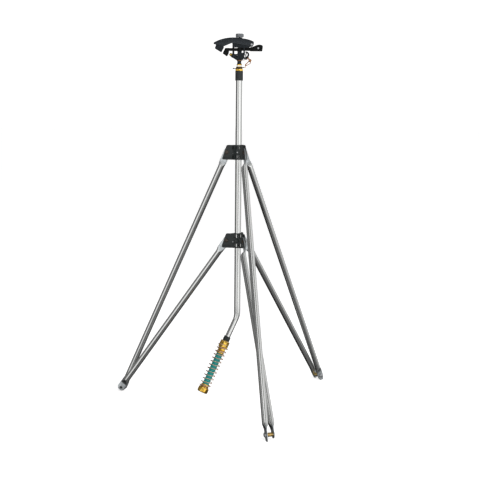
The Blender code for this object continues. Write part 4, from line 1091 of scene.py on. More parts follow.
@dataclass
class Foot:
    """The bolt, the brass spacer and the riveted end that join a leg to its brace."""

    radius: float = 0.3735
    height: float = 0.0155
    brace_side: float = 0.0008
    spacer: float = 0.0160
    flat: float = 0.0032
    bolt: float = 0.0038
    head: float = 0.0068
    head_height: float = 0.0042
    spacer_radius: float = 0.0058

    @property
    def leg_side(self) -> float:
        """The long leg's pressed end beside the leg's plane."""
        return self.brace_side - self.spacer - self.flat - 2 * GAP

    def build(self, shop: Workshop, leg: str) -> None:
        """Make one foot's fastenings."""
        face = self.leg_side - self.flat / 2
        start = self.leg_side + self.flat / 2 + GAP
        end = self.brace_side - self.flat / 2 - GAP
        at = shop.leg(leg) @ axis_frame((self.radius, 0, self.height), (0, 1, 0))
        shank = revolve(
            [(0.0, face - GAP - 0.001), (self.bolt, face - GAP - 0.001), (self.bolt, end), (0.0, end)],
            0.0005, 36)
        head = hexagonal(
            self.head * FLATS_OVER_CORNERS, face - GAP - self.head_height, face - GAP, chamfer=0.0008)
        washer = revolve(
            [(self.head * 1.02, face - GAP - 0.0008), (self.head * 1.02, face - GAP), (self.bolt, face - GAP),
            (self.bolt, face - GAP - 0.0008)], 0.0002, 40, closed=True)
        shop.piece(
            f"foot_bolt_{leg}_hex", carried((shank, head, washer), at), STEEL, f"long_leg_{leg}",
            [f"foot_bolt_{leg}"])
        inner = self.bolt + GAP

        def ringed(_: Array, height: Array) -> Array:
            """Two narrow grooves, a fifth of the length from each end."""
            share = (height - start) / (end - start)
            return -0.0004 * (np.exp(-((share - 0.2) / 0.05) ** 2) + np.exp(-((share - 0.8) / 0.05) ** 2))

        steps = np.linspace(start + 0.0006, end - 0.0006, 25)
        outer = [(self.spacer_radius, start)] + [
            (self.spacer_radius, z) for z in steps] + [(self.spacer_radius, end)]
        tube = revolve(outer + [(inner, end), (inner, start)], 0.0004, 44, closed=True, ripple=ringed)
        shop.piece(
            f"foot_spacer_{leg}_turned", tube.placed(at), BRASS, f"long_leg_{leg}",
            [f"foot_spacer_{leg}"])
        outside = self.brace_side + self.flat / 2
        cap = revolve(
            [(0.0, outside - self.flat + GAP), (self.bolt, outside - self.flat + GAP), (self.bolt, outside),
            (self.bolt, outside + 0.0016), (0.0030, outside + 0.0031), (0.0014, outside + 0.0036),
            (0.0, outside + 0.0037)], 0.0006, 40)
        shop.piece(
            f"foot_rivet_{leg}", cap.placed(at), ENAMEL, f"brace_{leg}", [f"foot_cap_{leg}"])
        ring = revolve(
            [(self.head, outside + GAP), (self.head, outside + GAP + 0.0010), (self.bolt + GAP,
            outside + 0.0019), (self.bolt + GAP, outside + GAP)], 0.0003, 44, closed=True)
        shop.piece(f"foot_washer_{leg}", ring.placed(at), STEEL, f"brace_{leg}")


@dataclass
class HubFastenings:
    """The pin of the upper hub and the clamp screw of the lower one."""

    azimuth: float = math.radians(255.5)
    riser_radius: float = 0.0095
    face: float = 0.0128
    pin_height: float = 0.7575
    screw_height: float = 0.4950
    pin: float = 0.0022
    screw: float = 0.0030
    head: float = 0.0065
    head_length: float = 0.0085

    def build(self, shop: Workshop) -> None:
        """Make the pin and the screw."""
        along = (math.cos(self.azimuth), math.sin(self.azimuth), 0.0)
        start = self.riser_radius + 2 * GAP
        pin = revolve(
            [(0.0, start), (self.pin, start), (self.pin, self.face + 0.0002), (self.pin * 0.95,
            self.face + 0.0016), (0.0, self.face + 0.0016)], 0.0006, 32)
        at = shop.riser @ axis_frame((0, 0, self.pin_height), along)
        shop.piece("hub_pin_domed", pin.placed(at), STEEL, "stand", ["hub_pin"])
        at = shop.riser @ axis_frame((0, 0, self.screw_height), along)
        shank = revolve(
            [(0.0, start), (self.screw, start), (self.screw, self.face + 0.002), (0.0, self.face + 0.002)],
            0.0004, 32)
        low = self.face + GAP
        head = hexagonal(self.head * FLATS_OVER_CORNERS, low, low + self.head_length, chamfer=0.0012)
        flange = revolve(
            [(0.0, low), (self.head * 1.02, low), (self.head * 1.02, low + 0.0011), (0.0, low + 0.0018)],
            0.0003, 48)
        shop.piece(
            "clamp_screw_hex", carried((shank, head, flange), at), ENAMEL, "clamp_screw",
            ["clamp_screw"])


# ---------------------------------------------------------------- bearing under the head
@dataclass
class Bearing:
    """Collar, brass hexagon, trip rings and washers between the riser and the head."""

    collar: float = 0.0115
    collar_bottom: float = 0.9670
    collar_top: float = 0.9945
    riser_radius: float = 0.0095
    riser_top: float = 0.9812
    nipple: float = 0.0086
    half_flats: float = 0.0110
    hexagon_top: float = 1.0005
    sleeve: float = 0.0076
    sleeve_top: float = 1.0072
    chamber: float = 0.0069
    chamber_top: float = 0.9965
    stem: float = 0.0044
    ring_height: float = 0.0026
    ring_wall: float = 0.0018
    washer: float = 0.0080
    washer_height: float = 0.0030

    def build(self, shop: Workshop) -> None:
        """Make the bearing's pieces."""
        seat = self.riser_top + GAP

        def ribs(turn: Array, height: Array) -> Array:
            """Eighteen shallow grooves that stop short of both ends."""
            share = np.clip((height - self.collar_bottom - 0.002) / 0.001, 0, 1)
            share = share * np.clip((self.collar_top - 0.002 - height) / 0.001, 0, 1)
            return -0.00028 * share * (0.5 + 0.5 * np.cos(18 * turn)) ** 3

        body = np.linspace(self.collar_bottom + 0.0007, self.collar_top - 0.0007, 34)
        profile = [(self.collar - 0.0005, self.collar_bottom)] + [(self.collar, z) for z in body]
        profile += [
            (self.collar - 0.0005, self.collar_top), (self.nipple + GAP, self.collar_top), (self.nipple + GAP,
            seat), (self.riser_radius + GAP, seat), (self.riser_radius + GAP, self.collar_bottom)]
        outside = len(body) + 2
        wear = marked(len(profile), (0, 1, outside - 2, outside - 1), 0.8)
        collar = lathe(np.array(profile), wear, 144, True, ribs, slice(outside))
        shop.piece(
            "pipe_collar_ribbed", collar.placed(shop.riser), ENAMEL, "stand", ["pipe_collar"])

        low = self.collar_top + GAP
        tube = revolve(
            [(self.nipple, self.riser_top + 3 * GAP), (self.nipple, low + 0.001), (self.sleeve, low + 0.002),
            (self.sleeve, self.sleeve_top), (self.stem + GAP, self.sleeve_top), (self.stem + GAP,
            self.chamber_top), (self.chamber, self.chamber_top), (self.chamber, self.riser_top + 3 * GAP)],
            0.0003, 56, closed=True)
        nut = hexagonal(self.half_flats, low, self.hexagon_top, self.nipple - 0.0008, 0.0011)
        bolster = revolve(
            [(self.nipple - 0.0006, low), (0.0098, low), (0.0098, self.hexagon_top + 0.00015),
            (self.sleeve - 0.0002, self.hexagon_top + 0.00015)], 0.0002, 56, closed=True)
        shop.piece(
            "bearing_hexagon", carried((tube, nut, bolster), shop.riser), GOLD, "stand",
            ["bearing_nut"])

        bottom = self.hexagon_top + GAP
        self.trip_ring(shop, "trip_ring_lower", bottom, math.pi, 0.0196)
        self.trip_ring(shop, "trip_ring_upper", bottom + self.ring_height + GAP, 0.0, 0.0160)
        low = self.sleeve_top + GAP
        for name, finish, slot, start in (
                ("thrust_washer", NYLON, "nylon", low), ("brass_washer", GOLD, "brass",
                low + self.washer_height + GAP)):
            ring = revolve(
                [(self.washer, start), (self.washer, start + self.washer_height), (self.stem + GAP,
                start + self.washer_height), (self.stem + GAP, start)], 0.0006, 56, closed=True)
            shop.piece(f"{name}_turned", ring.placed(shop.riser), finish, "head", [name])

    def trip_ring(self, shop: Workshop, name: str, bottom: float, azimuth: float, reach: float) -> None:
        """Make one split ring whose wire runs out into a narrow bent loop.

        Args:
            shop: the workshop.
            name: the ring's node and body.
            bottom: its lower face.
            azimuth: where its tab points.
            reach: the tab's tip from the riser's axis.
        """
        inner, wall = self.sleeve + GAP, self.ring_wall
        angle = np.linspace(math.pi + 0.07, 3 * math.pi - 0.07, 73)
        outer = np.column_stack([np.cos(angle), np.sin(angle)]) * (inner + wall)
        inside = np.column_stack([np.cos(angle[::-1]), np.sin(angle[::-1])]) * inner
        band = plate([np.vstack([outer, inside])], self.ring_height, 0.0005)
        middle = bottom + self.ring_height / 2
        root = inner + wall * 0.6
        corners = [
            (root, 0.0004, 0), (reach - 0.0060, 0.0004, 0), (reach - 0.0046, 0.0013, 0.0003), (reach - 0.0024,
            0.0015, 0.0004), (reach - 0.0010, 0, 0), (reach - 0.0024, -0.0015, -0.0004), (reach - 0.0046,
            -0.0013, -0.0003), (reach - 0.0062, -0.0004, 0)]
        tab = sweep(smooth_path(corners, 70), 0.00103, (0, 0, 1), 12)
        at = shop.riser @ shift(z=middle) @ swing(azimuth)
        shop.piece(f"{name}_sprung", [band.placed(at), tab.placed(at)], SPRING_STEEL, name, [name])


# ---------------------------------------------------------------- head
@dataclass
class HeadCasting:
    """Neck, column, barrel, posts and the bridge over the arm, with the nozzle."""

    tilt: float = math.radians(29.0)
    barrel: float = 0.0058
    axis_x: float = -0.0250
    axis_z: float = 1.0416
    barrel_end: float = -0.0220
    nozzle: float = 0.0042
    nozzle_bore: float = 0.0022
    nozzle_length: float = 0.0075
    neck: float = 0.0063
    neck_bottom: float = 1.0142
    column_bottom: float = 1.0265
    window_bottom: float = 1.0470
    window_top: float = 1.0625
    width: float = 0.0180
    skirt: float = 0.0014
    post: float = 0.0038
    post_side: float = 0.0075
    fulcrum_x: float = 0.0006
    pocket: float = 0.0072
    hinge_x: float = 0.0355
    hinge_z: float = 1.0705
    lug: float = 0.0045
    lug_width: float = 0.0090
    axle_height: float = 1.0310
    hood_radius: float = 0.120
    hood_apex_x: float = -0.0170
    hood_apex_z: float = 1.0905

    @property
    def jet(self) -> Array:
        """Unit vector along the jet."""
        return np.array([-math.cos(self.tilt), 0.0, math.sin(self.tilt)])

    def jet_point(self, x: float) -> Array:
        """The point on the jet's axis at a given x."""
        return np.array([x, 0.0, self.axis_z - (x - self.axis_x) * math.tan(self.tilt)])

    def arch(self, x: Array, drop: float = 0.0) -> Array:
        """Heights of the hood's arch, or of an arc that lies lower by drop."""
        radius = self.hood_radius - drop
        return self.hood_apex_z - self.hood_radius + np.sqrt(radius ** 2 - (x - self.hood_apex_x) ** 2)

    def bridge(self) -> list[Surface]:
        """The thick arch over the arm: two cheeks with the spring's pocket between them, and raised frames."""
        left, half, pocket = -0.0205, self.width / 2, self.pocket
        x = np.linspace(left, self.hinge_x - 0.008, 15)
        crown = np.column_stack([x, self.arch(x, 0.0032)])
        rest = np.array(
            [(self.hinge_x, self.hinge_z + self.lug - 0.001), (self.hinge_x, self.hinge_z - self.lug),
            (0.0240, self.window_top - self.skirt), (-0.0020, self.window_top - self.skirt),
            (-0.0045, self.window_top), (left, self.window_top)])
        corners = np.vstack([crown, rest])
        radius = np.concatenate(
            [[0.0018], np.full(len(crown) - 2, 0.0006), [0.0010], [0.001, 0.0025, 0.003, 0.0006, 0.0006,
            0.0012]])
        outline, _ = soften(corners, radius, 4)
        cheek = upright(plate([outline], half - pocket, 0.0006))
        surfaces = [cheek.placed(shift(y=side * (half + pocket) / 2)) for side in (-1, 1)]
        low, top = self.window_top, 1.0720
        back = block(
            (self.fulcrum_x + pocket, -pocket - 0.0004, low), (self.hinge_x - 0.0070, pocket + 0.0004, top),
            0.0004)
        front = block(
            (left + 0.0004, -pocket - 0.0004, low), (self.fulcrum_x - pocket, pocket + 0.0004, top), 0.0004)
        x = np.linspace(left + 0.0004, self.hinge_x - 0.008, 15)
        lid = np.vstack(
            [np.column_stack([x, self.arch(x, 0.0036)]), [(self.hinge_x - 0.008, top - 0.001), (left + 0.0004,
            top - 0.001)]])
        surfaces += [back, front, slab(lid, 0.0005, 2 * pocket + 0.0008, 0.0003, 3)]
        frame, _ = soften(
            np.array([(-0.0175, 1.0655), (0.0215, 1.0655), (0.0262, 1.0700), (0.0215, 1.0765),
            (0.002, 1.0815), (-0.0175, 1.0815)]), 0.002, 6)
        raised = upright(plate([frame, inset(frame, 0.0013)], 0.0010, 0.0002))
        surfaces += [raised.placed(shift(y=side * (half + 0.0001))) for side in (-1, 1)]
        return surfaces

    def column(self) -> list[Surface]:
        """Neck, column, posts, sill and bosses."""
        half = self.width / 2
        neck = revolve(
            [(0.0050, self.neck_bottom), (self.neck + 0.0006, self.neck_bottom), (self.neck + 0.0006,
            self.neck_bottom + 0.0018), (self.neck - 0.0003, self.neck_bottom + 0.0030), (self.neck - 0.0003,
            self.column_bottom - 0.0022), (self.neck + 0.0012, self.column_bottom), (self.neck + 0.0012,
            self.column_bottom + 0.0012), (0.0, self.column_bottom + 0.0012)], 0.0008, 64)
        outline = np.array(
            [(-0.0060, self.column_bottom), (0.0108, self.column_bottom),
            (0.0150, self.column_bottom + 0.006), (0.0150, self.window_bottom),
            (-0.0060, self.window_bottom)])
        post, _ = soften(outline, np.array([0.0020, 0.0030, 0.0030, 0.0012, 0.0012]), 6)
        solid = upright(plate([post], self.width, 0.0012, 4))
        panel, _ = soften(
            np.array([(-0.0036, self.column_bottom + 0.0025), (0.0105, self.column_bottom + 0.0025),
            (0.0128, self.column_bottom + 0.006), (0.0128, self.window_bottom - 0.0022),
            (-0.0036, self.window_bottom - 0.0022)]), 0.0015, 5)
        raised = upright(plate([panel, inset(panel, 0.0012)], 0.0010, 0.0002))
        surfaces = [neck, solid] + [raised.placed(shift(y=side * (half + 0.0001))) for side in (-1, 1)]
        left, low = -0.0205, self.window_bottom - 0.008
        surfaces += [
            block((left, self.post_side - self.post / 2, low), (left + 0.0060, self.post_side + self.post / 2,
            self.window_top + 0.002), 0.0010), block((0.0115, -self.post_side - self.post / 2, low),
            (0.0165, -self.post_side + self.post / 2, self.window_top + 0.002), 0.0010),
            block((left, self.post_side - self.post / 2, low), (-0.0050, self.post_side + self.post / 2,
            low + 0.0050), 0.0010), block((0.0140, -0.0035, self.axle_height - 0.0035), (0.0180, 0.0035,
            self.axle_height + 0.0035), 0.0009)]
        boss = revolve(
            [(0.0, self.window_bottom - 0.001), (0.0066, self.window_bottom - 0.001), (0.0062, 1.0492),
            (0.0, 1.0492)], 0.0005, 48)
        surfaces.append(boss.placed(shift(x=self.fulcrum_x)))
        return surfaces

    def barrel_parts(self) -> list[Surface]:
        """The tapered barrel with its ring at the mouth, and the web under it."""
        root = self.jet_point(self.fulcrum_x)
        end = self.jet_point(self.barrel_end)
        length = float(np.linalg.norm(end - root))
        along = (end - root) / length
        tube = revolve(
            [(0.0, 0.0), (self.barrel * 1.04, 0.0), (self.barrel * 0.95, length - 0.0060), (self.barrel,
            length - 0.0055), (self.barrel, length), (0.0036, length), (0.0036, length - 0.006),
            (0.0, length - 0.006)], 0.0005, 56)
        web = [(-0.0050, 1.0282), (-0.0022, 1.0268), (0.002, 1.0330), (-0.0050, 1.0345)]
        return [tube.placed(axis_frame(root, along, (0, 1, 0))), slab(web, 0.001, 0.0110, 0.0008)]

    def build(self, shop: Workshop) -> None:
        """Make the casting and its nozzle, and dress the pieces inside."""
        lug = revolve(
            [(self.lug, -self.lug_width / 2), (self.lug, self.lug_width / 2), (0.0021, self.lug_width / 2),
            (0.0021, -self.lug_width / 2)], 0.0005, 48, closed=True)
        lug = lug.placed(axis_frame((self.hinge_x, 0, self.hinge_z), (0, 1, 0)))
        arm = [
            (0.0230, 1.0665), (self.hinge_x, self.hinge_z - self.lug), (self.hinge_x - 0.001,
            self.hinge_z + self.lug - 0.0006), (0.0240, 1.0745)]
        neck = slab(arm, 0.0004, self.lug_width, 0.0004, 3)
        parts = self.bridge() + self.column() + self.barrel_parts() + [lug, neck]
        shop.piece(
            "head_casting", carried(parts, shop.riser), CASTING, "head", ["sprinkler_body"])

        start = self.jet_point(self.barrel_end + 0.004)
        seat = float(np.linalg.norm(start - self.jet_point(self.barrel_end)))
        tip = seat + self.nozzle_length
        profile = [
            (self.nozzle, seat + GAP), (self.nozzle, tip - 0.0030), (self.nozzle - 0.0011, tip - 0.0004),
            (self.nozzle - 0.0014, tip), (self.nozzle_bore, tip), (self.nozzle_bore + 0.0006, 0.0),
            (0.0034, 0.0), (0.0034, seat + GAP)]
        turned = revolve(profile, 0.0003, 48, closed=True)
        collar = hexagonal(self.nozzle + 0.0004, seat + GAP, seat + 0.0030, self.nozzle - 0.0006, 0.0005)
        at = shop.riser @ axis_frame(start, self.jet, (0, 1, 0))
        shop.piece("jet_nozzle", [turned.placed(at), collar.placed(at)], GOLD, "head", ["nozzle"])
        for node, finish in (
                ("bearing_stem", BRASS), ("seal_washer", RUBBER), ("bearing_spring", STEEL), ("fulcrum_pin",
                STEEL), ("arm_spring", COPPER), ("trip_axle", STEEL)):
            shop.dress_node(node, finish)


@dataclass
class ImpactArm:
    """The arm that swings on the fulcrum: vane, bar, hub and counterweight."""

    fulcrum_x: float = 0.0006
    pin: float = 0.0024
    hub: float = 0.0068
    bar_bottom: float = 1.0530
    bar_top: float = 1.0605
    bar_width: float = 0.0070
    vane_width: float = 0.0130
    weight_width: float = 0.0140

    def build(self, shop: Workshop) -> None:
        """Make the arm as one casting."""
        bar = [
            (-0.0419, self.bar_bottom - 0.0006), (-0.010, self.bar_bottom - 0.0012),
            (0.0140, self.bar_bottom), (0.0340, self.bar_bottom - 0.0006), (0.0340, self.bar_top + 0.0020),
            (0.0300, self.bar_top + 0.0016), (0.0090, self.bar_top + 0.0016), (0.0080, self.bar_top),
            (-0.0419, self.bar_top)]
        vane = [
            (-0.0488, 1.0448), (-0.0362, 1.0362), (-0.0322, 1.0420), (-0.0300, 1.0500),
            (-0.0300, self.bar_top), (-0.0413, self.bar_top)]
        weight = np.array(
            [(0.0315, 1.0517), (0.0668, 1.0517), (0.0686, 1.0672), (0.0640, 1.0703), (0.0560, 1.0710),
            (0.0490, 1.0690), (0.0400, 1.0646), (0.0315, 1.0630)])
        radius = np.array([0.001, 0.0020, 0.003, 0.0035, 0.0045, 0.004, 0.004, 0.0015])
        centre = (0.0550, 1.0605)
        dish = circle(centre, 0.0031, 36)
        block_end = plate([soften(weight, radius, 6)[0], dish], self.weight_width, 0.0013, 4)
        ring = plate([circle(centre, 0.0045, 40), dish], 0.0008, 0.0003)
        half = self.weight_width / 2
        hub = revolve(
            [(self.hub - 0.0008, self.bar_bottom - 0.0035), (self.hub, self.bar_bottom - 0.0022),
            (self.hub, self.bar_top + 0.0008), (self.pin + GAP, self.bar_top + 0.0008), (self.pin + GAP,
            self.bar_bottom - 0.0035)], 0.0006, 56, closed=True)
        web = np.array(
            [(0.0060, self.bar_bottom + 0.0020), (0.0330, self.bar_bottom + 0.0016),
            (0.0330, self.bar_top + 0.0010), (0.0060, self.bar_top - 0.0012)])
        parts = [
            slab(bar, 0.0012, self.bar_width, 0.0010, 5, 4), slab(vane, 0.0014, self.vane_width, 0.0009, 5,
            4), upright(block_end), upright(ring).placed(shift(y=half)), upright(ring).placed(shift(y=-half)),
            hub.placed(shift(x=self.fulcrum_x)), slab(web, 0.0008, 0.0100, 0.0008)]
        shop.piece(
            "impact_arm_casting", carried(parts, shop.riser), ARM_CASTING, "impact_arm",
            ["impact_arm"])
        plug = revolve(
            [(0.0, -half + 0.0016), (0.0027, -half + 0.0016), (0.0031, -half + 0.0022),
            (0.0031, half - 0.0022), (0.0027, half - 0.0016), (0.0, half - 0.0016)], 0.0004, 40)
        plug = plug.placed(shop.riser @ axis_frame((centre[0], 0, centre[1]), (0, 1, 0)))
        shop.piece("counterweight_plug", plug, STEEL, "impact_arm")


@dataclass
class DeflectorHood:
    """The arched cover with its deflecting block, its hinge and the cap screw."""

    casting: HeadCasting
    wall: float = 0.0020
    width: float = 0.0240
    tip: float = -0.0750
    end: float = 0.0420
    lift: float = 0.0036
    knob: float = 0.0117
    knob_bottom: float = 1.0913
    knob_top: float = 1.1018
    stud: float = 0.0026
    stud_bottom: float = 1.0865

    def shell(self) -> Surface:
        """The cover's sheet.

        Each station along x carries a ring in y and z: up the outer side,
        round a shoulder, across the arch, down the other side, and back along
        the inner faces one wall inside. The half width shrinks to the tip and
        the end as a quarter circle. Behind the cap screw the arch is lifted by
        a smooth step times the lift.
        """
        cast = self.casting
        hinge_x, hinge_z = cast.hinge_x, cast.hinge_z
        edge_x = [self.tip, -0.0735, -0.0620, -0.0478, -0.0234, hinge_x - 0.008, hinge_x + 0.003, self.end]
        edge_z = [
            float(cast.arch(np.array(self.tip))) - 0.0040, 1.0716, 1.0690, 1.0650, 1.0752, hinge_z - 0.0037,
            hinge_z - 0.0037, hinge_z + 0.0015]
        inner_end = 1 - np.cos(np.linspace(0, np.pi / 2, 8))
        x = np.concatenate(
            [self.tip + 0.007 * inner_end, np.linspace(self.tip + 0.007, self.end - 0.004, 70)[1:-1],
            self.end - 0.004 * inner_end[::-1]])
        rise = np.clip(x / self.end, 0, 1)
        top = cast.arch(x) + self.lift * rise * rise * (3 - 2 * rise)
        low = np.minimum(np.interp(x, edge_x, edge_z), top - 0.0012)
        near = np.clip(np.minimum((x - self.tip) / 0.007, (self.end - x) / 0.004), 0, 1)
        corner = np.where(x < 0, 0.0065, 0.0022)
        outer = self.width / 2 - corner * (1 - np.sqrt(np.clip(1 - (1 - near) ** 2, 0, 1)))
        wall, shoulder = self.wall, 0.0022
        bend = np.linspace(0, np.pi / 2, 6)
        columns_y, columns_z = [], []
        closing = np.clip((x - (self.end - self.wall - 0.0002)) / 0.0004, 0, 1)
        inner_top = np.maximum(top - wall, low) * (1 - closing) + low * closing
        solid = x < -0.0640
        inner_top = np.where(solid, low, inner_top)
        for side in (-1.0, 1.0):
            turn = bend if side < 0 else bend[::-1]
            if side < 0:
                columns_y.append(-outer)
                columns_z.append(low)
            arch_low = np.minimum(shoulder, (top - low) * 0.9)
            for angle in turn:
                columns_y.append(side * (outer - shoulder * (1 - math.cos(angle))))
                columns_z.append(top - arch_low * (1 - math.sin(angle)))
            if side > 0:
                columns_y.append(outer)
                columns_z.append(low)
        inner = outer - wall
        for y, z in ((inner, low), (inner, inner_top), (-inner, inner_top), (-inner, low)):
            columns_y.append(y)
            columns_z.append(z)
        points = np.stack(
            [np.repeat(x[:, None], len(columns_y), 1), np.stack(columns_y, 1), np.stack(columns_z, 1)], -1)
        rim = np.zeros(points.shape[:2])
        rim[:, [0, 13]] = 0.8
        return grid_surface(points, False, True, rim=rim)

    def build(self, shop: Workshop) -> None:
        """Make the hood, its hinge pin and its cap screw."""
        cast = self.casting
        block_side = [
            (-0.0716, 1.0590), (-0.0528, 1.0478), (-0.0450, 1.0622), (-0.0476, 1.0700), (-0.0662, 1.0750)]
        wide = self.width - 0.004
        parts = [self.shell(), slab(block_side, 0.0013, wide, 0.0010, 6, 4)]
        rib = [(-0.0640, 1.0568), (-0.0605, 1.0547), (-0.0565, 1.0700), (-0.0600, 1.0710)]
        parts.append(slab(rib, 0.0006, wide + 0.0012, 0.0005))
        seat = float(cast.arch(np.array(cast.fulcrum_x)))
        boss = revolve(
            [(0.0029, seat - 0.0012), (0.0078, seat - 0.0012), (0.0070, seat + 0.0009),
            (0.0029, seat + 0.0009)], 0.0004, 56, closed=True)
        parts.append(boss.placed(shift(x=cast.fulcrum_x)))
        hinge = axis_frame((cast.hinge_x, 0, cast.hinge_z), (0, 1, 0))
        curl = revolve(
            [(0.0052, self.width / 2 - 0.0004), (0.0050, self.width / 2 + 0.0006),
            (0.0021, self.width / 2 + 0.0006), (0.0021, self.width / 2 - 0.0004)], 0.0004, 48, closed=True)
        flipped = Surface(
            curl.points * (1, 1, -1), [face[::-1] for face in curl.faces], curl.unbent, curl.rim,
            curl.pressed)
        parts += [curl.placed(hinge), flipped.placed(hinge)]
        shop.piece(
            "hood_shell", carried(parts, shop.riser), CASTING, "deflector_hood",
            ["deflector_hood"])
        half = self.width / 2 + 0.0010
        pin = revolve(
            [(0.0, -half), (0.0030, -half), (0.0030, -half + 0.0008), (0.0018, -half + 0.0010),
            (0.0018, half - 0.0010), (0.0030, half - 0.0008), (0.0030, half), (0.0, half)], 0.0003, 40)
        shop.piece("hinge_pin", pin.placed(shop.riser @ hinge), STEEL, "head", ["deflector_pin"])

        low, top = self.knob_bottom, self.knob_top
        grip = np.linspace(low + 0.0010, top - 0.0016, 9)
        profile = [
            (0.0, self.stud_bottom), (self.stud, self.stud_bottom), (self.stud, low), (self.knob - 0.0020,
            low)]
        profile += [(self.knob, z) for z in grip] + [
            (self.knob - 0.0016, top), (0.0060, top), (0.0052, top - 0.0012), (0.0, top - 0.0012)]

        def knurl(turn: Array, height: Array) -> Array:
            """Twelve hollows that fade out towards both rims."""
            share = np.clip(
                (height - low - 0.0004) / 0.0008, 0, 1) * np.clip((top - 0.0006 - height) / 0.0012, 0, 1)
            return -0.0013 * share * (0.5 - 0.5 * np.cos(12 * turn)) ** 2

        last = 4 + len(grip)
        cap = lathe(
            np.array(profile), marked(len(profile), (4, last - 1, last), 0.8), 144, False, knurl,
            slice(4, last))
        shop.piece(
            "lift_cap_screw", cap.placed(shop.riser @ shift(x=cast.fulcrum_x)), CAP, "lift_knob",
            ["lift_knob"])


@dataclass
class TripGear:
    """Trip lever, its coil and the bent copper wire that rides between the trip rings."""

    axle: float = 1.0310
    lever_hub: float = 0.0042
    wire: float = 0.0012

    def build(self, shop: Workshop) -> None:
        """Make the lever, the coil and the wire."""
        path = smooth_path(
            [(0.0205, 0, 1.0325), (0.0236, 0, 1.0352), (0.0262, 0, 1.0398), (0.0262, 0, 1.0442),
            (0.0236, 0, 1.0474), (0.0196, 0, 1.0490)], 50)
        thick = 0.0029 - 0.0006 * np.linspace(0, 1, 50)
        lever = sweep(path, thick, (0, 1, 0), 20)
        on_axle = axis_frame((0, 0, self.axle), (1, 0, 0))
        hub = revolve(
            [(self.lever_hub, 0.0184), (self.lever_hub, 0.0222), (0.0016, 0.0222), (0.0016, 0.0184)], 0.0006,
            48, closed=True).placed(on_axle)
        strut = sweep(
            smooth_path([(0.0195, 0, 1.0335), (0.0188, 0, 1.0385), (0.0196, 0, 1.0430), (0.0214, 0, 1.0476)],
            30), 0.0014, (0, 1, 0), 16)
        parts = [lever, hub, strut]
        shop.piece(
            "trip_lever_casting", carried(parts, shop.riser), CASTING, "trip_lever",
            ["trip_lever"])

        at = shop.riser @ on_axle
        line, outward = helix(0.0024, 0.02315, 0.02525, 2.6, 30)
        coil = sweep(line, 0.0004, outward, 10)
        tail = sweep(
            smooth_path([(0.0236, -0.0026, 1.0296), (0.0190, -0.0048, 1.0268), (0.0140, -0.0062, 1.0250),
            (0.0085, -0.0060, 1.0252), (0.0045, -0.0056, 1.0250)], 40), 0.0005, (0, 0.4, 1), 10)
        wrap_line, wrap_out = helix(0.0071, 1.0236, 1.0256, 2.0, 48)
        wrap = sweep(wrap_line, 0.0005, wrap_out, 10)
        shop.piece(
            "trip_coil", [coil.placed(at), tail.placed(shop.riser), wrap.placed(shop.riser)], COPPER, "head",
            ["trip_spring"])

        eye_line, eye_out = helix(0.0026, 0.0262, 0.0274, 1.2, 40, phase=math.radians(90), closed_ends=0.1)
        eye = sweep(eye_line, 0.0008, eye_out, 12).placed(on_axle)
        coil_line, coil_out = helix(0.0036, -0.0034, 0.0034, 3.1, 36, phase=0.3)
        bundle = sweep(coil_line, 0.0012, coil_out, 14).placed(axis_frame((0.0308, 0, 1.0250), (1, 0, -0.45)))
        outer = smooth_path(
            [(0.0336, -0.0008, 1.0222), (0.0334, -0.0006, 1.0190), (0.0312, 0, 1.0162), (0.0270, 0, 1.0137),
            (0.0225, 0, 1.0112), (0.0194, 0, 1.0096), (0.0180, 0, 1.0072), (0.0180, 0, 1.0045)], 90)
        inner = smooth_path(
            [(0.0276, 0.0012, 1.0230), (0.0252, 0.0010, 1.0196), (0.0222, 0.0008, 1.0172), (0.0196, 0.0006,
            1.0148), (0.0182, 0.0004, 1.0124), (0.0186, 0.0004, 1.0102)], 60)
        knot_line, knot_out = helix(0.0017, -0.0018, 0.0018, 2.4, 30)
        knot = sweep(knot_line, 0.0010, knot_out, 12).placed(axis_frame((0.0192, 0.0, 1.0112), (0.8, 0, 0.6)))
        link = sweep(
            smooth_path([(0.0268, 0, 1.0284), (0.0276, 0, 1.0278), (0.0284, 0, 1.0280)], 14), 0.0008,
            (0, 1, 0), 12)
        parts = [
            eye, bundle, sweep(outer, self.wire * 0.8, (0, 1, 0), 14), sweep(inner, self.wire * 1.15,
            (0, 1, 0), 14), knot, link]
        shop.piece(
            "trip_wire_loop", carried(parts, shop.riser), COPPER, "trip_wire", ["trip_wire"])


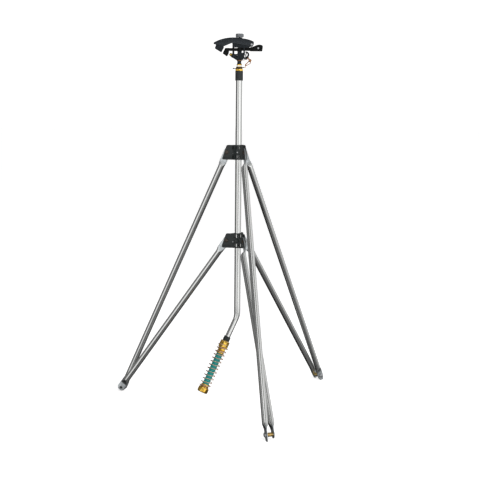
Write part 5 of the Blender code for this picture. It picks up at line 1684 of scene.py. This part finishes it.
# ---------------------------------------------------------------- inlet and leader hose
@dataclass
class Leader:
    """The ring and thread on the tail, and the leader hose screwed onto them."""

    riser: Riser
    ring: float = 0.0103
    thread: float = 0.0102
    thread_start: float = 0.0023
    thread_length: float = 0.0078
    nut: float = 0.0144
    nut_length: float = 0.0240
    ferrule: float = 0.0122
    ferrule_length: float = 0.0180
    hose: float = 0.00975
    hose_wall: float = 0.0030
    hose_length: float = 0.1200
    grip: float = 0.0100
    guard: float = 0.01615
    guard_wire: float = 0.0012
    guard_turns: float = 12.5
    fitting: float = 0.0160
    fitting_length: float = 0.0160
    bore: float = 0.0055

    def build(self, shop: Workshop) -> None:
        """Make the hose first, then what is on it."""
        at = self.riser.inlet(shop)
        start = self.thread_start
        nut_end = start + self.nut_length
        ferrule_end = nut_end + GAP + self.ferrule_length
        hose_start = ferrule_end - self.grip
        hose_end = hose_start + self.hose_length
        line = np.column_stack([np.zeros((31, 2)), np.linspace(hose_start, hose_end, 31)])
        tube = sweep(line, self.hose, (1, 0, 0), 48, rounded=False).placed(at)
        hose = shop.piece("leader_hose_teal", tube, HOSE, "stand", ["leader_hose"])
        route = line @ at[:3, :3].T + at[:3, 3]
        guard = self.guard_spring(shop, at, start + 0.0120, hose_end + GAP - self.guard_wire - GAP)
        fitting = self.end_fitting(shop, at, hose_end)
        self.inlet_ring(shop, at)
        self.swivel_nut(shop, at, start, nut_end)
        self.hose_ferrule(shop, at, nut_end, ferrule_end)
        shop.dress_node("inlet_thread", BRASS)
        shop.dress_node("hose_washer", RUBBER)

    def inlet_ring(self, shop: Workshop, at: Array) -> None:
        """The black ring on the tail's end, with two turned grooves."""
        steps = np.linspace(-0.0115, 0.0015, 22)

        def grooves(_: Array, height: Array) -> Array:
            """Two narrow grooves, below the flat end."""
            depth = np.exp(-((height + 0.0085) / 0.0006) ** 2) + np.exp(-((height + 0.0015) / 0.0006) ** 2)
            return -0.00045 * depth * (height < 0.0019)

        profile = [(self.ring - 0.0008, -0.0120)] + [(self.ring, z) for z in steps] + [
            (self.ring - 0.0006, 0.0020), (self.thread - 0.0025, 0.0020), (self.thread - 0.0025, GAP),
            (self.riser.tail_radius + GAP, GAP), (self.riser.tail_radius + GAP, -0.0120)]
        ring = revolve(profile, 0.0002, 64, closed=True, ripple=grooves)
        shop.piece("tail_ring", ring.placed(at), ENAMEL, "stand", ["inlet_ring"])

    def swivel_nut(self, shop: Workshop, at: Array, start: float, end: float) -> None:
        """The round nut with ten broad flutes between its chamfered rims."""
        neck = self.ferrule - 0.0030
        shoulder = self.thread_start + self.thread_length + 0.0020 + 2 * GAP + 0.0030
        body = np.linspace(start + 0.0034, end - 0.0046, 17)
        line = np.array(
            [(self.thread + GAP, start + GAP), (self.nut - 0.0022, start + GAP), (self.nut - 0.0010,
            start + 0.0009), (self.nut - 0.0004, start + 0.0022), (self.nut, start + 0.0028)] + [(self.nut,
            z) for z in body] + [(self.nut, end - 0.0038), (self.nut - 0.0005, end - 0.0028),
            (self.nut - 0.0012, end - 0.0010), (self.nut - 0.0026, end), (neck + GAP, end),
            (neck + GAP, shoulder + GAP), (self.thread + GAP, shoulder + GAP)])

        def flutes(turn: Array, height: Array) -> Array:
            """Ten broad hollows that fade out towards both rims."""
            share = np.clip((height - start - 0.0028) / 0.0016, 0, 1)
            share = share * np.clip((end - 0.0040 - height) / 0.0016, 0, 1)
            return -0.0011 * (0.5 - 0.5 * np.cos(10 * turn)) ** 0.8 * share

        last = 5 + len(body)
        wear = marked(len(line), [*range(1, 6), *range(last - 1, last + 4)], 0.6)
        nut = lathe(line, wear, 160, True, flutes, slice(5, last))
        shop.piece("swivel_nut_fluted", nut.placed(at), GOLD, "swivel_nut", ["swivel_nut"])

    def hose_ferrule(self, shop: Workshop, at: Array, start: float, end: float) -> None:
        """The hose tail's collar: a faceted ring, a groove and a rolled ring."""
        neck = self.ferrule - 0.0030
        shoulder = self.thread_start + self.thread_length + 0.0020 + 2 * GAP
        low = start + GAP
        stem = revolve(
            [(self.bore, shoulder), (self.thread, shoulder), (self.thread, shoulder + 0.0030),
            (neck, shoulder + 0.0030), (neck, low + 0.001), (neck, low + 0.0100), (neck - 0.001,
            low + 0.0105), (self.bore + 0.0009, low + 0.0110), (self.bore, low + 0.0108)], 0.0003, 56,
            closed=True)
        facets = hexagonal(self.ferrule * math.cos(math.pi / 6), low, low + 0.0078, self.bore + 0.001, 0.0016)
        rolled = revolve(
            [(neck - 0.0002, low + 0.0074), (self.ferrule - 0.0010, low + 0.0086), (self.ferrule - 0.0004,
            low + 0.0104), (self.ferrule - 0.0014, low + 0.0120), (self.ferrule - 0.0016, low + 0.0132),
            (self.ferrule - 0.0003, low + 0.0146), (self.ferrule - 0.0003, low + 0.0164),
            (self.ferrule - 0.0010, end), (self.hose + GAP, end), (self.hose + GAP, end - self.grip - GAP),
            (neck - 0.0002, end - self.grip - GAP)], 0.0007, 56, closed=True)
        shop.piece("hose_ferrule", carried((stem, facets, rolled), at), GOLD, "stand", ["hose_stem"])

    def guard_spring(self, shop: Workshop, at: Array, start: float, end: float) -> bpy.types.Object:
        """The wire coil that stands off the hose, in a lighter copy of the copper finish that paints
        highlights on its turns.
        """
        line, outward = helix(self.guard, start, end, self.guard_turns, 44)
        coil = sweep(line, self.guard_wire, outward, 14)
        return shop.piece("guard_coil", coil.placed(at), HIGHLIT_COPPER_WIRE, "stand", ["guard_spring"])

    def end_fitting(self, shop: Workshop, at: Array, hose_end: float) -> bpy.types.Object:
        """The brass end: a ring with two grooves, a neck and a softly lobed body."""
        low = hose_end - self.grip
        shoulder = hose_end + GAP
        end = shoulder + self.fitting_length
        barb = self.hose - self.hose_wall - GAP
        ring = revolve(
            [(self.hose + GAP, low), (self.ferrule, low), (self.ferrule, low + 0.0040),
            (self.ferrule - 0.0012, low + 0.0048), (self.ferrule - 0.0012, low + 0.0056), (self.ferrule,
            low + 0.0064), (self.ferrule, shoulder + 0.001), (self.hose + GAP, shoulder + 0.001)], 0.0005, 56,
            closed=True)
        body = np.linspace(0, 1, 26)
        swell = self.fitting - 0.0030 * (1 - np.sqrt(np.clip(1 - ((body - 0.48) / 0.52) ** 4, 0, 1)))
        swell = np.minimum(swell, self.fitting)
        height = shoulder + (end - shoulder) * body
        profile = np.vstack(
            [np.column_stack([swell, height]), [(self.fitting - 0.0050, end), (self.bore + 0.0035,
            end - 0.0008), (self.bore, end - 0.0012), (self.bore, low - 0.002), (barb, low - 0.002),
            (barb, shoulder)]])

        def lobes(turn: Array, _: Array) -> Array:
            """Six soft hollows, deepest half way along the body."""
            return -0.0011 * np.sin(np.pi * body)[:, None] ** 0.7 * (0.5 - 0.5 * np.cos(6 * turn))

        last = len(body)
        wear = marked(len(profile), [0, 1, 2, *range(last - 3, last + 1)], 0.5)
        lobed = lathe(profile, wear, 120, True, lobes, slice(last))
        fitting = shop.piece(
            "end_fitting_brass", [ring.placed(at), lobed.placed(at)], GOLD, "stand", ["end_fitting"])
        bands = [
            revolve([(self.ferrule + 0.0002, z), (self.ferrule + 0.0012, z + 0.0003), (self.ferrule + 0.0012,
            z + 0.0013), (self.ferrule + 0.0002, z + 0.0016)], 0.0003, 48,
            closed=True) for z in (low + 0.0068, low + 0.0092)]
        shop.piece("fitting_bands", carried(bands, at), DARK_BRASS, "stand")
        return fitting


# ---------------------------------------------------------------- studio
@dataclass
class Studio:
    """Pale floor, soft surroundings, two lights and the camera."""

    centre: Array
    eye: tuple[float, float, float] = (0.0067, -3.0, 0.8888)
    aim: tuple[float, float, float] = (0.0067, 0.0, 0.4962)
    lens: float = 75.9375
    roll: float = 0.0088
    floor_radius: float = 40.0
    level_panels: tuple[tuple[float, float], ...] = (
        (0.0, 0.50), (0.08, 0.20), (0.295, 0.18), (0.315, 0.50), (0.36, 1.30), (0.43, 1.35), (0.455, 0.50),
        (0.49, 0.45), (0.505, 1.35), (0.57, 1.7), (0.655, 1.6), (0.69, 0.80), (0.86, 0.70), (1.0, 0.50))
    high_panels: tuple[tuple[float, float], ...] = (
        (0.0, 0.55), (0.10, 0.50), (0.30, 0.30), (0.36, 0.14), (0.43, 0.12), (0.455, 1.5), (0.50, 1.8),
        (0.525, 1.5), (0.545, 0.14), (0.59, 0.12), (0.62, 0.90), (0.70, 1.20), (0.86, 0.80), (1.0, 0.55))
    heights: tuple[tuple[float, float], ...] = (
        (0.0, 0.10), (0.22, 0.13), (0.30, 0.20), (0.345, 0.62), (0.40, 0.95), (0.49, 1.0), (0.74, 1.0),
        (0.86, 0.60), (1.0, 0.50))

    def camera(self) -> None:
        """Make the camera, turned slightly about its own axis."""
        data = bpy.data.cameras.new("front_camera")
        data.lens = self.lens
        data.sensor_width = 36.0
        data.clip_end = 200.0
        made = bpy.data.objects.new("front_camera", data)
        bpy.context.scene.collection.objects.link(made)
        eye = Vector(self.eye) + Vector(self.centre)
        aim = Vector(self.aim) + Vector(self.centre)
        look = (aim - eye).to_track_quat("-Z", "Y").to_matrix().to_4x4()
        made.matrix_world = Matrix.Translation(eye) @ look @ Matrix.Rotation(self.roll, 4, "Z")
        bpy.context.scene.camera = made

    def floor(self) -> None:
        """Make the floor: one wide disc a hair below the feet."""
        outline = circle((self.centre[0], self.centre[1]), self.floor_radius, 96)
        slab = plate([outline], 0.02, 0.004).placed(shift(z=-0.0102))
        mesh = bpy.data.meshes.new("studio_floor")
        mesh.from_pydata(slab.points.tolist(), [], slab.faces)
        made = bpy.data.objects.new("studio_floor", mesh)
        bpy.context.scene.collection.objects.link(made)
        material = bpy.data.materials.new("floor_paper")
        material.use_nodes = True
        graph = Graph(material.node_tree)
        place = graph.node("ShaderNodeTexCoord", None, None, "Object")
        drift = graph.noise(place, 3.0, 2.0)
        tone = graph.mix(drift, (0.93, 0.93, 0.93), (0.95, 0.95, 0.95))
        shader = graph.node(
            "ShaderNodeBsdfPrincipled", None, {"Base Color": tone, "Roughness": 0.9,
            "Specular IOR Level": 0.1, "Emission Color": (1.0, 1.0, 1.0, 1.0), "Emission Strength": 0.55})
        graph.node("ShaderNodeOutputMaterial", None, {"Surface": shader})
        mesh.materials.append(material)
        made.visible_glossy = False

    def surroundings(self) -> None:
        """Soft panels and darker gaps all round, seen only by reflections and soft light.

        The level is a smooth function of the direction's azimuth, times one of
        its height. What the camera sees behind everything is plain white.
        """
        world = bpy.data.worlds.new("studio")
        bpy.context.scene.world = world
        world.use_nodes = True
        graph = Graph(world.node_tree)
        towards = graph.node("ShaderNodeTexCoord", None, None, "Generated")
        split = graph.node("ShaderNodeSeparateXYZ", None, {0: towards}, "X")
        y = Wire(graph, split.socket.node.outputs["Y"])
        z = Wire(graph, split.socket.node.outputs["Z"])
        turn = graph.node("ShaderNodeMath", {"operation": "ARCTAN2"}, {0: split, 1: y * -1.0})
        share = turn / (2 * math.pi) + 0.5
        level = graph.node("ShaderNodeValToRGB", {"stops": self.level_panels}, {0: share})
        high = graph.node("ShaderNodeValToRGB", {"stops": self.high_panels}, {0: share})
        around = graph.mix(z.between(0.18, 0.42), level, high)
        height = z * 0.5 + 0.5
        levels = graph.node("ShaderNodeValToRGB", {"stops": self.heights}, {0: height})
        panels = graph.node(
            "ShaderNodeMix", {"data_type": "RGBA", "blend_type": "MULTIPLY"}, {0: 1.0, 6: around, 7: levels},
            2)
        seen = graph.node("ShaderNodeLightPath", None, None, "Is Camera Ray")
        colour = graph.mix(seen, panels, (1.0, 1.0, 1.0))
        strength = 1.0 + seen * 0.15
        sky = graph.node("ShaderNodeBackground", None, {"Color": colour, "Strength": strength})
        graph.node("ShaderNodeOutputWorld", None, {"Surface": sky})

    def lights(self) -> None:
        """A soft key from the upper right of the camera and a fill from the left."""
        for name, place, size, power in (
                ("key_softbox", (1.5, -2.6, 2.4), 1.2, 62.0), ("fill_softbox", (-2.4, -1.8, 1.6), 1.6, 14.0)):
            data = bpy.data.lights.new(name, "AREA")
            data.shape = "RECTANGLE"
            data.size = size * 0.6
            data.size_y = size * 1.6
            data.energy = power
            made = bpy.data.objects.new(name, data)
            bpy.context.scene.collection.objects.link(made)
            spot = Vector(place) + Vector(self.centre)
            aim = (
                Vector(self.centre) + Vector((0, 0, 0.6)) - spot).to_track_quat("-Z",
                "Y").to_matrix().to_4x4()
            made.matrix_world = Matrix.Translation(spot) @ aim
            made.visible_glossy = False

    def build(self) -> None:
        """Make the studio."""
        self.camera()
        self.floor()
        self.surroundings()
        self.lights()
        bpy.context.scene.view_settings.view_transform = "Standard"


def main() -> None:
    """Build the studio and every sub-assembly in turn."""
    logging.basicConfig(level=logging.INFO, format="%(name)s %(message)s")
    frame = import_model()
    shop = Workshop(frame)
    Studio(shop.riser[:3, 3]).build()
    riser = Riser()
    Leader(riser).build(shop)
    riser.build(shop)
    slits = (((0.0125, 0.0150), True), ((0.0125, 0.0150), False))
    upper_spans = slits + (
        ((-0.0078, -0.0045), True), ((0.0032, 0.0086), True), ((-0.0082, -0.0046), False), ((0.0005, 0.0056),
        False))
    HubPlates("upper_hub", "stand", 0.7575, upper_spans, 0.0030, True).build(shop)
    lower_spans = tuple(
        (span, above) for span in ((-0.0135, -0.0058), (0.0002, 0.0080)) for above in (True, False))
    HubPlates("lower_hub", "lower_hub", 0.4950, lower_spans, 0.0028, False).build(shop)
    HubFastenings().build(shop)
    foot = Foot()
    long_leg = LegTube("long_leg", 0.7575, 0.0052, True)
    brace = LegTube("brace", 0.4950, 0.0005, False)
    for leg in LEGS:
        long_leg.build(shop, leg, foot.leg_side)
        brace.build(shop, leg, foot.brace_side)
        foot.build(shop, leg)
    Bearing().build(shop)
    casting = HeadCasting()
    casting.build(shop)
    ImpactArm().build(shop)
    DeflectorHood(casting).build(shop)
    TripGear().build(shop)
    LOG.info("%d pieces made", len(shop.made))


if __name__ == "__main__":
    main()
